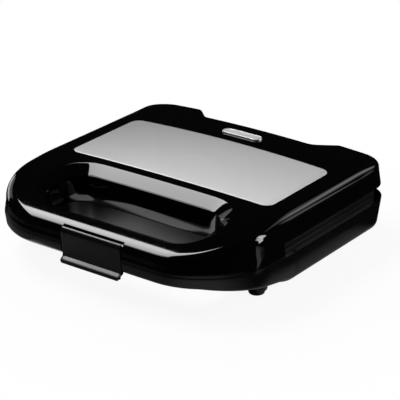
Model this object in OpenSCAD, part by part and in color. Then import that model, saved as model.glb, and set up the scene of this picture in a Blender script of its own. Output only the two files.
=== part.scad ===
// Two-slice sandwich toaster with a hinged lid, a slotted bar handle and a clip latch.
// Front is -Y, the feet stand on Z = 0, and X = 0 is the plane of symmetry.

/* [Body] */
// Width of both shells at the parting line
body_w = 248; // [240:1:256]
// Depth of the shells, from the front wall to the rear of the ears
shell_d = 247; // [242:0.2:252]
// Plan radius of the two front corners
front_corner_r = 64; // [56:1:68]
// Plan radius of the two rear corners
rear_corner_r = 27; // [22:1:30]
// Wall thickness of both shells
wall = 2.4; // [2:0.1:2.8]
// Draft of the lid's side walls, in degrees
lid_draft = 9; // [6:1:10]
// Gap left to each side of the parting plane
part_gap = 0.15; // [0.1:0.05:0.25]

/* [Lid] */
// Height of the lid from the parting plane to its flat top
lid_h = 30; // [28:0.5:33]
// Radius of the rounded shoulder
shoulder_r = 9; // [7:0.5:10]
// Share of the shoulder radius that is left at the rear edge
rear_share = 0.44; // [0.38:0.02:0.48]
// Length of the nose, where the top slopes down to the front
nose_d = 96; // [88:1:104]
// Radius of the arc that the nose follows
nose_r = 275; // [260:5:300]
// Length of the tail, where the top slopes down to the rear
tail_d = 55.6; // [48:0.2:62]
// Radius of the arc that the tail follows
tail_r = 450; // [400:10:520]
// Rise of the top's crown on the centre line
crown_h = 3.3; // [2:0.1:4]

/* [Rear ears] */
// Depth of the notch between the ears
notch_d = 16.6; // [14:0.2:18]
// Half width of the notch, to the ear's rounding
ear_x = 74; // [70:0.5:78]
// Radius of the ear's inner corner
ear_r = 10; // [9.5:0.5:12]
// Radius at the root of the notch
notch_r = 8; // [6:0.5:10]
// Slope of the notch's side, in degrees
notch_a = 45; // [40:0.5:48]

/* [Handle] */
// Depth of the grip bar, from the front wall to the finger slot
grip_d = 26.5; // [24:0.5:29]
// Width of the finger slot
slot_w = 158; // [148:1:162]
// Depth of the finger slot, front to rear
slot_d = 50; // [46:0.5:52]
// Corner radius of the finger slot
slot_r = 22; // [18:1:24]
// Width of the sloping rim round the slot
bevel_w = 10; // [9:0.5:11]
// Depth of the sloping rim
bevel_h = 7; // [6:0.5:7.5]
// Flare of the slot's wall on each side, between the parting plane and the rim
slot_flare = 1; // [0.5:0.25:1.5]

/* [Steel inlay] */
// Distance from the shells' side to the inlay
inlay_side = 24; // [22:0.5:28]
// Distance from the inlay's rear edge to the notch between the ears
inlay_back = 45.4; // [42:0.2:50]
// Corner radius of the inlay
inlay_r = 8; // [6:0.5:12]
// Thickness of the inlay sheet
inlay_t = 0.8; // [0.6:0.1:1]
// Depth of the recess that the inlay lies in
inlay_sunk = 0.6; // [0.4:0.1:0.8]

/* [Badge] */
// Length of the blank badge
badge_l = 39; // [34:1:44]
// Width of the blank badge
badge_w = 9.5; // [8:0.5:11]
// Distance from the rear of the notch to the badge's middle
badge_back = 28; // [26:0.5:30]
// Thickness of the badge
badge_t = 1.8; // [1.4:0.1:2.2]

/* [Base] */
// Height from the underside of the tub to the parting plane
base_h = 30; // [29:0.5:33]
// Height of the feet below the tub
foot_h = 4; // [3:0.5:5]
// Height of the base's band at the front wall
band_h = 10; // [9:0.5:11]
// Drop of the band's lower edge per millimetre of depth
band_slope = 0.197; // [0.17:0.005:0.22]
// Distance from the front wall to the tub's front wall
tub_y = 82; // [80:0.5:84]
// Plan radius of the tub's two front corners
tub_corner_r = 20; // [16:1:24]
// Radius that the tub's lower edge is rounded with
tub_r = 7; // [5:0.5:8]
// Inward draft of the tub's wall over its height
tub_draft = 3; // [2:0.25:4]

/* [Side recess] */
// Distance from the front wall to the start of the side recess
recess_y = 85; // [83:0.5:88]
// Height of the lid's side wall above the parting plane
recess_up = 8.5; // [7.5:0.25:9]
// Depth of the base's side wall below the parting plane
recess_down = 2.5; // [2:0.25:3]
// Distance from the shells' side walls in to the liner's rim
rim_inset = 2; // [1.6:0.1:2.4]
// Width of the liner's rim
rim_w = 3.4; // [3:0.1:4]
// Distance from the rear of the ears to the liner's rim
rim_back = 19.9; // [19:0.1:20.6]
// Outer corner radius of the liner's rim
liner_r = 13; // [10:0.5:15]
// Thickness of the liner's plates and rim
liner_t = 2.2; // [1.8:0.1:2.6]

/* [Cooking plates] */
// Clearance from the liner's rim to the cooking plate
plate_gap = 0.8; // [0.5:0.1:1.2]
// Thickness of the cast plate
plate_t = 3; // [2.5:0.1:3.5]
// Depth of a sandwich pocket
pocket_h = 8; // [7:0.25:9]
// Width of the liner's ledge beside the pockets
ledge_side = 6.6; // [6:0.2:8]
// Width of the liner's ledge in front of and behind the pockets
ledge_end = 9.65; // [9.5:0.05:11]
// Gap from the pockets' outside to the ledge
window_gap = 1.2; // [1:0.1:1.6]
// Wall thickness of a pocket's side
pocket_wall = 3; // [2.5:0.1:3.5]
// Width of the bridge between the left and right slices
bridge_w = 22; // [20:0.5:24]
// Width of the ridge along a slice's diagonal
ridge_w = 7; // [6:0.5:9]

/* [Heating] */
// Diameter of the sheathed heating element
element_d = 6.5; // [6:0.25:7]
// Bend radius of the element's centre line
element_bend = 18; // [16:1:22]
// Sheet thickness of the reflector pans
pan_t = 0.6; // [0.5:0.1:0.8]
// Body diameter of the thermostat
stat_d = 14; // [12:0.5:15]
// Body height of the thermostat
stat_h = 8; // [6:0.5:9]

// Length of the terminal block
block_l = 32; // [28:1:36]
// Depth of the terminal block
block_d = 16; // [14:1:18]
// Diameter of the link cable
link_d = 4; // [3.5:0.1:4.2]
// Diameter of a sleeved wire
wire_d = 2; // [1.6:0.1:2.2]

/* [Hinge and latch] */
// Distance from the rear of the ears to the hinge axis
hinge_in = 5; // [4.8:0.05:5.2]
// Diameter of the hinge pins
pin_d = 4; // [3.5:0.25:4.5]
// Running clearance on the radius of the hinge and latch pins
pin_play = 0.05; // [0.03:0.01:0.08]
// Distance from the ear's rounding to the inner lug of a hinge
lug_off = 6; // [5.5:0.1:6.5]
// Length of one hinge lug along its pin
lug_l = 11; // [9:0.5:12]
// Width of the latch
latch_w = 59; // [54:0.5:62]
// Height of the latch
latch_h = 30; // [29:0.5:32]
// Thickness of the latch plate
latch_t = 3; // [2.6:0.1:3.4]
// How far the latch stands out from the shells' front wall
latch_proud = 2.6; // [2.2:0.1:3]
// Distance from the shells' front wall to the latch pin
latch_in = 6; // [5.5:0.25:6.5]
// Height of the latch pin above the parting plane
latch_up = 8.5; // [8:0.25:9]
// Height of the latch's top edge above the parting plane
latch_top = 14; // [13:0.5:14.5]
// Diameter of the latch pin
latch_pin_d = 2.4; // [2:0.1:2.8]

/* [Fasteners and feet] */
// Shank diameter of every screw
screw_d = 3; // [2.6:0.1:3.4]
// Diameter of the rubber feet
foot_d = 13; // [11:0.5:15]
// Bore of the cord inlet bush
inlet_d = 7; // [6:0.25:8]

/* [Hidden] */
$fn = 48;

// Main planes
W = body_w / 2;
Y0 = latch_proud - (shell_d + latch_proud) / 2;
Y1 = Y0 + shell_d;
YN = Y1 - notch_d;
PZ = foot_h + base_h;
TOP = PZ + lid_h;
YR = Y0 + recess_y;
YT = Y0 + tub_y;
Z_UP = PZ + recess_up;
Z_DN = PZ - recess_down;
MZ = (Z_UP + Z_DN) / 2;
FIT = 0.3;
CY = -4;

// Finger slot
SY0 = Y0 + grip_d;
SY1 = SY0 + slot_d;

// Liner, window and plates
RX = W - rim_inset;
RY = Y1 - rim_back;
PLX = RX - rim_w - plate_gap;
PLY0 = YR + rim_w + plate_gap;
PLY1 = RY - rim_w - plate_gap;
PLY = (PLY0 + PLY1) / 2;
FACE = MZ - part_gap;
SLAB = FACE - plate_t;
TUB = SLAB - pocket_h;
PK_W = PLX - ledge_side - window_gap - pocket_wall - bridge_w / 2;
PK_D = PLY1 - PLY0 - 2 * (ledge_end + window_gap + pocket_wall);
PKX = (bridge_w + PK_W) / 2;
WNX = PLX - ledge_side;
WNY0 = PLY0 + ledge_end;
WNY1 = PLY1 - ledge_end;
LEDGE = Z_DN;
FLB = LEDGE - liner_t;

// Element and pan
EZ = TUB - element_d / 2 - 0.1;
PANZ = EZ - element_d / 2 - 2.8;
PNX = WNX + 1.8;
PNY0 = WNY0 - 1.5;
PNY1 = WNY1 + 1.5;
EX = PKX + PK_W / 2 - 17;
EL = 12;
CLX = EX * 0.47;
EF = PNY0 + 18;
ER = PNY1 - 2;
ELS = ER - EF - 3 * element_bend;

// Fixings
PSX = PLX / 2 + 1;
PSY0 = (PLY0 + WNY0) / 2;
PSY1 = (PLY1 + WNY1) / 2;
BSX = W - 26;
BSY = SY0 + slot_d * 0.64;
BRY = PNY1 + 6;
FTX = W - 20;
FTY = YT - 7;
FRX = W - 24;
FRY = YN - 20;

// Hinge and latch
LUGX = ear_x + lug_off;
BRX = LUGX + lug_l / 2 + 0.5;
LKX = LUGX - link_d / 2 - 0.8;
LKL = LKX - link_d - 0.5;
HY = Y1 - hinge_in;
KR = hinge_in;
PR = pin_d / 2;
LPR = latch_pin_d / 2;
LY = Y0 + latch_in;
LZ = PZ + latch_up;
LHX = latch_w / 2;
LTOP = PZ + latch_top;
LBOT = LTOP - latch_h;
BLX = LHX + 6;
BLY = Y0 + latch_in + 5;

// Smooth step from 0 to 1
function sstep(t) = let (u = min(1, max(0, t))) u * u * (3 - 2 * u);

// Height of the lid's top at a point in plan
YNO = Y0 + nose_d;
YTA = Y1 - tail_d;
CW = body_w * 100 / 248;
function crown(y) = crown_h * sstep((y - YNO + nose_d * 5 / 6) / (nose_d * 5 / 6 + (YTA - YNO) * 0.943));
function fall(y) = y < YNO ? pow(y - YNO, 2) / (2 * nose_r) : y > YTA ? pow(y - YTA, 2) / (2 * tail_r) : 0;
function top_z(x, y) = TOP - fall(y) + crown(y) * (1 - pow(x / CW, 2));

// Points along an arc, each with its outward normal, and along an arc that curves inward
function bow(cx, cy, r, a0, a1, n) =
    [for (k = [0:n]) let (a = a0 + (a1 - a0) * k / n) [cx + r * cos(a), cy + r * sin(a), cos(a), sin(a)]];
function dent(cx, cy, r, a0, a1, n) =
    [for (k = [0:n]) let (a = a0 + (a1 - a0) * k / n) [cx - r * cos(a), cy - r * sin(a), cos(a), sin(a)]];

// A closed outline from its right half
function whole(h) = concat(h, [for (i = [len(h) - 2:-1:1]) [-h[i][0], h[i][1], -h[i][2], h[i][3]]]);

// A point of an outline, moved inward
function px(p, d) = p[0] - d * p[2];
function py(p, d) = p[1] - d * p[3];

// Plan outlines of the shells, the band and the tub
NA = 90 + notch_a;
RAMP = (notch_d - ear_r * (1 - sin(NA)) - notch_r * (1 - sin(NA))) / tan(notch_a);
NX = ear_x + ear_r * cos(NA) - RAMP + notch_r * cos(NA);
SIDE_Y = Y0 + front_corner_r;
REAR_Y = Y1 - rear_corner_r;
FRONT = concat([[0, Y0, 0, -1], [(W - front_corner_r) / 2, Y0, 0, -1]],
               bow(W - front_corner_r, SIDE_Y, front_corner_r, -90, 0, 12));
REAR = concat(bow(W - rear_corner_r, REAR_Y, rear_corner_r, 0, 90, 8),
              bow(ear_x, Y1 - ear_r, ear_r, 90, NA, 3),
              dent(NX, YN + notch_r, notch_r, NA, 90, 3),
              [[NX / 2, YN, 0, 1], [0, YN, 0, 1]]);
OUTLINE = whole(concat(FRONT, [for (k = [1:4]) [W, SIDE_Y + (REAR_Y - SIDE_Y) * k / 5, 1, 0]], REAR));
TUB_SIDE = YT + tub_corner_r;
TUB_HALF = concat([[0, YT, 0, -1], [W / 2, YT, 0, -1]],
                  bow(W - tub_corner_r, TUB_SIDE, tub_corner_r, -90, 0, 6),
                  [for (k = [1:3]) [W, TUB_SIDE + (REAR_Y - TUB_SIDE) * k / 4, 1, 0]], REAR);
TUB_LINE = whole(TUB_HALF);
BAND_END = YT + 16;
BAND_LINE = whole(concat(FRONT, [[W, (SIDE_Y + BAND_END) / 2, 1, 0], [W, BAND_END, 1, 0],
                                 [0, BAND_END, 0, 0]]));

// A closed solid through rings of points, with a tip at each end
module loft(rings, low, high) {
    n = len(rings[0]);
    m = len(rings);
    pts = concat([for (r = rings) each r], [low, high]);
    walls = [for (k = [0:m - 2]) for (i = [0:n - 1])
             let (a = k * n + i, b = k * n + (i + 1) % n, c = b + n, d = a + n) each [[a, d, c], [a, c, b]]];
    base = [for (i = [0:n - 1]) [i, (i + 1) % n, n * m]];
    cap = [for (i = [0:n - 1]) [(m - 1) * n + i, n * m + 1, (m - 1) * n + (i + 1) % n]];
    polyhedron(points = pts, faces = concat(base, walls, cap), convexity = 6);
}

// Shoulder of the lid at one outline point: radius, wall inset, end angle, end inset and centre height
function slope(p, d) = (top_z(px(p, d + 1), py(p, d + 1)) - top_z(px(p, d - 1), py(p, d - 1))) / 2;
function shoulder(p) =
    let (r = shoulder_r * (1 - (1 - rear_share) * sstep((p[1] - Y1 + 48) / 36)),
         d0 = (top_z(p[0], p[1]) - r - PZ) * tan(lid_draft),
         e = 90 - atan(slope(p, d0 + 0.7 * r)),
         dc = d0 + r * cos(lid_draft),
         de = dc - r * cos(e))
    [r, dc, e, top_z(px(p, de), py(p, de)) - r * sin(e)];
function arc_pt(p, u, t) =
    let (s = shoulder(p), a = lid_draft + (s[2] - lid_draft) * u, r = max(0.6, s[0] - t),
         d = s[1] - r * cos(a))
    [px(p, d), py(p, d), s[3] + r * sin(a)];
function cap_pt(q, k, t) = let (x = q[0] * k, y = CY + (q[1] - CY) * k) [x, y, top_z(x, y) - t];
function foot_ring(z, t) =
    [for (p = OUTLINE) let (d = t + (z - PZ) * tan(lid_draft)) [px(p, d), py(p, d), z]];
function arc_ring(u, t) = [for (p = OUTLINE) arc_pt(p, u, t)];
function cap_ring(k, t) = [for (p = OUTLINE) cap_pt(arc_pt(p, 1, t), k, t)];

module lid_outer() {
    loft([foot_ring(PZ + part_gap, 0), arc_ring(0, 0), arc_ring(0.25, 0), arc_ring(0.5, 0), arc_ring(0.75, 0),
          arc_ring(1, 0), cap_ring(0.8, 0), cap_ring(0.6, 0), cap_ring(0.4, 0), cap_ring(0.2, 0)],
         [0, CY, PZ + part_gap], [0, CY, top_z(0, CY)]);
}

module lid_inner() {
    loft([foot_ring(PZ - 1, wall), arc_ring(0, wall), arc_ring(0.5, wall), arc_ring(1, wall),
          cap_ring(0.75, wall), cap_ring(0.5, wall), cap_ring(0.25, wall)],
         [0, CY, PZ - 1], [0, CY, top_z(0, CY) - wall]);
}

// A rectangle with rounded corners, by half width, front, rear and radius
module rrect(x, y0, y1, r) {
    translate([-x, y0 + r])
        square([2 * x, y1 - y0 - 2 * r]);
    translate([-x + r, y0])
        square([2 * x - 2 * r, y1 - y0]);
    for (sx = [-1, 1])
        for (y = [y0 + r, y1 - r])
            translate([sx * (x - r), y])
                circle(r);
}

module slot_2d(d) {
    rrect(slot_w / 2 + d, SY0 - d, SY1 + d, slot_r + d);
}

// Outline points of the finger slot, and its cutter and sleeve in the lid
function slot_quarter() = concat(bow(slot_w / 2 - slot_r, SY0 + slot_r, slot_r, -90, 0, 5),
                                 bow(slot_w / 2 - slot_r, SY1 - slot_r, slot_r, 0, 90, 5));
SLOT_LINE = whole(concat([[0, SY0, 0, -1], [slot_w / 6, SY0, 0, -1], [slot_w / 3 - 5, SY0, 0, -1]],
                         slot_quarter(),
                         [[slot_w / 3 - 5, SY1, 0, 1], [slot_w / 6, SY1, 0, 1], [0, SY1, 0, 1]]));
function slot_ring(d, dz) = [for (p = SLOT_LINE) [px(p, -d), py(p, -d), top_z(px(p, -d), py(p, -d)) + dz]];
function slot_flat(d, z) = [for (p = SLOT_LINE) [px(p, -d), py(p, -d), z]];
SCY = (SY0 + SY1) / 2;

module slot_cutter() {
    loft([slot_flat(-slot_flare, PZ - 1), slot_ring(0, -bevel_h), slot_ring(bevel_w * 0.91, -bevel_h * 0.09),
          slot_ring(bevel_w, -0.2), slot_ring(bevel_w + 0.5, 0.4), slot_flat(bevel_w + 0.5, TOP + 12)],
         [0, SCY, PZ - 1], [0, SCY, TOP + 12]);
}

module slot_sleeve() {
    loft([slot_flat(wall, PZ - 2), slot_ring(wall, -bevel_h - 0.52 * wall),
          slot_ring(bevel_w + 0.32 * wall, -wall), slot_flat(bevel_w + 0.32 * wall, TOP + 10)],
         [0, SCY, PZ - 2], [0, SCY, TOP + 10]);
}

// Outline points of the inlay, and a curved sheet that follows the lid's top
IY0 = YNO;
IY1 = YN - inlay_back;
ICY = (IY0 + IY1) / 2;
IX = W - inlay_side;
INLAY_LINE = whole(concat([[0, IY0, 0, -1], [IX / 3, IY0, 0, -1], [IX * 2 / 3, IY0, 0, -1]],
                          bow(IX - inlay_r, IY0 + inlay_r, inlay_r, -90, 0, 5), [[IX, ICY, 1, 0]],
                          bow(IX - inlay_r, IY1 - inlay_r, inlay_r, 0, 90, 5),
                          [[IX * 2 / 3, IY1, 0, 1], [IX / 3, IY1, 0, 1], [0, IY1, 0, 1]]));
function sheet_ring(k, d, dz) =
    [for (p = INLAY_LINE) let (x = px(p, -d) * k, y = ICY + (py(p, -d) - ICY) * k) [x, y, top_z(x, y) + dz]];

module sheet(d, z0, z1) {
    loft([sheet_ring(0.25, d, z0), sheet_ring(0.5, d, z0), sheet_ring(0.75, d, z0), sheet_ring(1, d, z0),
          sheet_ring(1, d, z1), sheet_ring(0.75, d, z1), sheet_ring(0.5, d, z1), sheet_ring(0.25, d, z1)],
         [0, ICY, top_z(0, ICY) + z0], [0, ICY, top_z(0, ICY) + z1]);
}

// The blank badge
BY = YN - badge_back;
BZ = top_z(0, BY) - 0.5;
module badge_2d(d) {
    square([badge_l - badge_w, badge_w + 2 * d], center = true);
    for (s = [-1, 1])
        translate([s * (badge_l - badge_w) / 2, 0])
            circle(badge_w / 2 + d);
}

// A screw that points along +Z, with its head below z
module screw(x, y, z, shank) {
    translate([x, y, z - 2])
        cylinder(h = 2, d = screw_d * 1.85);
    translate([x, y, z - 0.5])
        cylinder(h = shank + 0.5, d = screw_d);
}

// A thin wire along a route
function unit(v) = v / norm(v);
function along(r, i) = unit(r[min(i + 1, len(r) - 1)] - r[max(i - 1, 0)]);
module wire(route, rad, up) {
    n = 8;
    rings = [for (i = [0:len(route) - 1])
             let (d = along(route, i), a = unit(cross(up, d)), b = cross(d, a))
             [for (k = [0:n - 1]) route[i] + rad * (cos(k * 45) * a + sin(k * 45) * b)]];
    loft(rings, route[0], route[len(route) - 1]);
}

// Mirror about the plane where the cooking plates meet
module flip() {
    translate([0, 0, 2 * MZ])
        mirror([0, 0, 1])
            children();
}

module lid_shell() {
    color("#101011")
    difference() {
        lid_outer();
        difference() {
            lid_inner();
            slot_sleeve();
            translate([-BLX, Y0 - 1, 0])
                cube([2 * BLX, BLY - Y0 + 1, TOP + 10]);
            for (s = [-1, 1]) {
                translate([s * BSX, BSY, PZ + 4.6])
                    cylinder(h = TOP, r = 4);
                translate([s * BRX, BRY, Z_UP + 5])
                    cylinder(h = TOP, r = 4);
            }
        }
        slot_cutter();
        translate([-W - 1, YR, PZ - 1])
            cube([2 * W + 2, Y1 - YR + 1, Z_UP - PZ + 1]);
        sheet(0.1, -inlay_sunk, 3);
        translate([0, BY, BZ])
            linear_extrude(5)
                badge_2d(0.1);
        translate([-LHX - 0.5, Y0 - 1, PZ - 1])
            cube([latch_w + 1, 4.8, lid_h]);
        translate([-LHX - 0.5, Y0 - 1, LZ + 3.2])
            cube([latch_w + 1, 6.1, lid_h]);
        for (s = [-1, 1]) {
            translate([s * (LHX - 3) - 3.5, Y0, PZ - 1])
                cube([7, latch_in, latch_up + 1]);
            translate([s * (LHX - 3) - 3.5, LY, LZ])
                rotate([0, 90, 0])
                    cylinder(h = 7, r = 3.2);
            translate([s * (LHX - 3) - 3.5, Y0, LZ])
                cube([7, latch_in, 3.4]);
            translate([s * BSX, BSY, PZ + 2])
                cylinder(h = 14, d = screw_d);
            translate([s * BRX, BRY, Z_UP + 2])
                cylinder(h = 12, d = screw_d);
        }
        translate([-LHX - 4.5, LY, LZ])
            rotate([0, 90, 0])
                cylinder(h = latch_w + 9, r = LPR);
    }
}

module lid_inlay() {
    color("#a8a9ab")
    sheet(0, 0.03 - inlay_sunk, inlay_t - inlay_sunk);
}

module lid_badge() {
    color("#b5b6b8")
    translate([0, BY, BZ])
        linear_extrude(badge_t)
            badge_2d(0);
}

// Front floor of a liner, cut to the shell's inside
module liner_front_2d(d, end) {
    difference() {
        intersection() {
            polygon([for (p = OUTLINE) [px(p, d), py(p, d)]]);
            translate([-W, Y0])
                square([2 * W, end - Y0]);
        }
        slot_2d(wall + 1);
        translate([-BLX - FIT, Y0 - 1])
            square([2 * BLX + 2 * FIT, BLY - Y0 + 1 + FIT]);
    }
}

// Outline of a liner's rim, with small front corners
module rim_2d(x, y0, y1, r) {
    rrect(x, y0 + 30, y1, r);
    rrect(x, y0, y1 - 30, 3);
}

// Ledge and rim of the base's liner; the lid's is its mirror image
module liner_frame(inset) {
    fx = W - inset;
    fy = min(RY, YN - inset);
    difference() {
        union() {
            translate([0, 0, FLB])
                linear_extrude(liner_t + 1)
                    rim_2d(fx, YR + FIT, fy, liner_r - 2);
            translate([0, 0, LEDGE])
                linear_extrude(FACE - LEDGE)
                    rim_2d(RX, YR + FIT, RY, liner_r);
        }
        translate([0, 0, LEDGE])
            linear_extrude(20)
                rrect(RX - rim_w, YR + rim_w, RY - rim_w, liner_r - rim_w);
        translate([0, 0, FLB - 1])
            linear_extrude(20)
                rrect(WNX, WNY0, WNY1, 12);
        for (s = [-1, 1])
            for (y = [PSY0, PSY1])
                translate([s * PSX, y, FLB - 1])
                    cylinder(h = 6, d = screw_d + 0.4);
    }
}

module hinge_lug(x) {
    for (s = [-1, 1]) {
        translate([s > 0 ? x : -x - lug_l, HY, MZ])
            rotate([0, 90, 0])
                cylinder(h = lug_l, r = KR);
        translate([s > 0 ? x : -x - lug_l, RY - 8, FLB])
            cube([lug_l, HY - RY + 8, LEDGE - FLB]);
        translate([s > 0 ? x : -x - lug_l, RY - 2, LEDGE])
            cube([lug_l, HY - RY + 2, MZ - LEDGE - 0.5]);
    }
}

module lid_liner() {
    color("#1a1a1b")
    difference() {
        union() {
            flip()
                liner_frame(wall + 2.1);
            flip()
                hinge_lug(LUGX);
            translate([0, 0, PZ + part_gap])
                linear_extrude(liner_t)
                    liner_front_2d(wall + 0.9, YR);
            translate([-PLX - 1, YR - liner_t, PZ + part_gap])
                cube([2 * PLX + 2, liner_t, Z_UP + liner_t - PZ - part_gap]);
            translate([-PLX - 1, YR - liner_t, MZ + part_gap])
                cube([2 * PLX + 2, liner_t + 1.5, Z_UP + liner_t - MZ - part_gap]);
            for (s = [-1, 1]) {
                translate([s * BSX, BSY, PZ + part_gap])
                    cylinder(h = 4.6 - part_gap, r = 4.6);
                translate([s * BRX, BRY, Z_UP])
                    cylinder(h = 5, r = 4.6);
            }
        }
        for (s = [-1, 1]) {
            translate([s * BSX, BSY, PZ - 1])
                cylinder(h = 3.6, d = screw_d * 1.85 + 0.4);
            translate([s * BSX, BSY, PZ])
                cylinder(h = 8, d = screw_d + 0.4);
            translate([s * BRX, BRY, Z_UP - 1])
                cylinder(h = 3.6, d = screw_d * 1.85 + 0.4);
            translate([s * BRX, BRY, Z_UP])
                cylinder(h = 8, d = screw_d + 0.4);
        }
        translate([-W, HY, MZ])
            rotate([0, 90, 0])
                cylinder(h = 2 * W, r = PR + pin_play);
    }
}

// Cooking plate with two slices of two triangular pockets
module pocket(s, side) {
    a = PK_W / 2 - 9;
    b = PK_D / 2 - 9;
    e = ridge_w;
    hull()
        for (q = side > 0 ? [[-a, -b], [-a, b - e], [a - e, -b]] : [[a, b], [a, e - b], [e - a, b]])
            translate([s * PKX + s * q[0], PLY + q[1], FACE - pocket_h])
                cylinder(h = pocket_h + 0.01, r1 = 4.5, r2 = 8, $fn = 32);
}

module plate() {
    difference() {
        union() {
            translate([0, 0, SLAB])
                linear_extrude(plate_t)
                    rrect(PLX, PLY0, PLY1, liner_r - rim_w - plate_gap);
            translate([0, 0, LEDGE])
                linear_extrude(SLAB - LEDGE + 0.5)
                    difference() {
                        rrect(PLX, PLY0, PLY1, liner_r - rim_w - plate_gap);
                        rrect(WNX - 1, WNY0 + 1, WNY1 - 1, 11);
                    }
            for (s = [-1, 1])
                hull()
                    for (sx = [-1, 1])
                        for (sy = [-1, 1])
                            translate([s * PKX + sx * (PK_W / 2 - 7), PLY + sy * (PK_D / 2 - 7), TUB])
                                cylinder(h = pocket_h + 1, r1 = 7, r2 = 7 + pocket_wall, $fn = 32);
        }
        for (s = [-1, 1])
            for (side = [-1, 1])
                pocket(s, side);
        for (s = [-1, 1])
            for (y = [PSY0, PSY1])
                translate([s * PSX, y, LEDGE - 1])
                    cylinder(h = 5, d = screw_d);
    }
}

module upper_plate() {
    color("#2c2c2d")
    flip()
        plate();
}

module lower_plate() {
    color("#2c2c2d")
    plate();
}

// Sheathed heating element, one continuous loop with two cold ends
module rod(x, y, dx, dy) {
    len = abs(dx) + abs(dy);
    translate([x, y, EZ])
        rotate(dx != 0 ? [0, dx > 0 ? 90 : -90, 0] : [dy > 0 ? -90 : 90, 0, 0])
            cylinder(h = len, d = element_d);
}

module bend(x, y, a) {
    translate([x, y, EZ])
        rotate([0, 0, a])
            rotate_extrude(angle = 90)
                translate([element_bend, 0])
                    circle(d = element_d);
}

module element_half() {
    b = element_bend;
    rod(EL, ER - b + b, 0, PNY1 + 5 - ER);
    bend(EL + b, ER, 180);
    rod(EL + b, ER - b, EX - EL - 2 * b, 0);
    bend(EX - b, ER - 2 * b, 0);
    rod(EX, EF + b, 0, ER - 3 * b - EF);
    bend(EX - b, EF + b, 270);
    rod(0, EF, EX - b, 0);
}

module element() {
    for (s = [0, 1])
        mirror([s, 0, 0])
            element_half();
}

module upper_element() {
    color("#8d8d8f")
    flip()
        element();
}

module lower_element() {
    color("#8d8d8f")
    element();
}

// Straps that hold a rod of the given radius against a flat face at height z
module strap_2d(r) {
    t = 0.9;
    difference() {
        union() {
            circle(r + t);
            translate([-r - t, 0])
                square([2 * r + 2 * t, r]);
            translate([-r - 5, r - t])
                square([2 * r + 10, t]);
        }
        circle(r);
        translate([-r, 0])
            square([2 * r, r + 1]);
        translate([-r - 6, r])
            square([2 * r + 12, 5]);
    }
}

module element_clips() {
    r = element_d / 2 + 0.1;
    for (s = [-1, 1]) {
        for (k = [0.2, 0.8])
            translate([s * EX, EF + element_bend + k * ELS + 4, EZ])
                rotate([90, 0, 0])
                    linear_extrude(8)
                        strap_2d(r);
        translate([s * CLX - 4, EF, EZ])
            rotate([90, 0, 90])
                linear_extrude(8)
                    strap_2d(r);
    }
}

module upper_element_clips() {
    color("#9a9a9c")
    flip()
        element_clips();
}

module lower_element_clips() {
    color("#9a9a9c")
    element_clips();
}

// Sheet pan behind an element
module pan() {
    difference() {
        union() {
            translate([0, 0, PANZ])
                linear_extrude(FLB - PANZ)
                    rrect(PNX, PNY0, PNY1, 12);
            for (s = [-1, 1])
                for (y = [PSY0, PSY1])
                    translate([s * PSX - 5, y - 4.5, FLB - pan_t])
                        cube([10, 9, pan_t]);
        }
        translate([0, 0, PANZ + pan_t])
            linear_extrude(30)
                rrect(PNX - pan_t, PNY0 + pan_t, PNY1 - pan_t, 12 - pan_t);
        for (s = [-1, 1]) {
            translate([s * EL, PNY1 - 3, EZ])
                rotate([-90, 0, 0])
                    cylinder(h = 6, r = element_d / 2 + 0.25);
            for (y = [PSY0, PSY1])
                translate([s * PSX, y, FLB - 3])
                    cylinder(h = 6, d = screw_d + 0.4);
        }
        translate([0, PNY1 - 3, FLB - 2.4])
            rotate([-90, 0, 0])
                cylinder(h = 6, r = 1.5);
    }
}

module upper_reflector() {
    color("#9b9c9e")
    flip()
        pan();
}

module lower_reflector() {
    color("#9b9c9e")
    pan();
}

module plate_screws() {
    for (s = [-1, 1])
        for (y = [PSY0, PSY1])
            screw(s * PSX, y, FLB - pan_t, liner_t + pan_t + 3.5);
}

module upper_plate_screws() {
    color("#8a8a8c")
    flip()
        plate_screws();
}

module lower_plate_screws() {
    color("#8a8a8c")
    plate_screws();
}

module lid_screws() {
    color("#8a8a8c")
    for (s = [-1, 1]) {
        screw(s * BSX, BSY, PZ + 2.6, 12);
        screw(s * BRX, BRY, Z_UP + 2.6, 10);
    }
}

module lid_wires() {
    r = wire_d / 2;
    y = PNY1 + 5.1 + r;
    color("#c7b9a0")
    for (z = [-1.3 * r, 1.3 * r])
        wire([[-LKL, PNY1 + 11, 2 * MZ - EZ + z], [-LKL, PNY1 + 9, 2 * MZ - EZ + z],
              [2 - LKL, y, 2 * MZ - EZ + z], [7 - LKL, y, 2 * MZ - EZ + z],
              [z > 0 ? EL + 2 : 1 - EL, y, 2 * MZ - EZ + z]], r, [0, 0, 1]);
}

// Link cable: each half ends on the hinge axis, where it twists
module link(x, side) {
    r = link_d / 2;
    wire([[x + side * (r + 0.25), HY, MZ], [x + side * 1.2, HY, MZ], [x, HY - 1, MZ - 2],
          [x, HY - 3.4, MZ - 5], [x, HY - 6, MZ - 9], [x, HY - 8.5, MZ - 12.5],
          [x, PNY1 + 12.5, EZ], [x, PNY1 + 11, EZ]], r, [1, 0.5, 0]);
}

module link_cable_lid() {
    color("#161617")
    flip()
        link(-LKL, -1);
}

module link_cable_base() {
    color("#161617")
    link(-LKX, 1);
}

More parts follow.
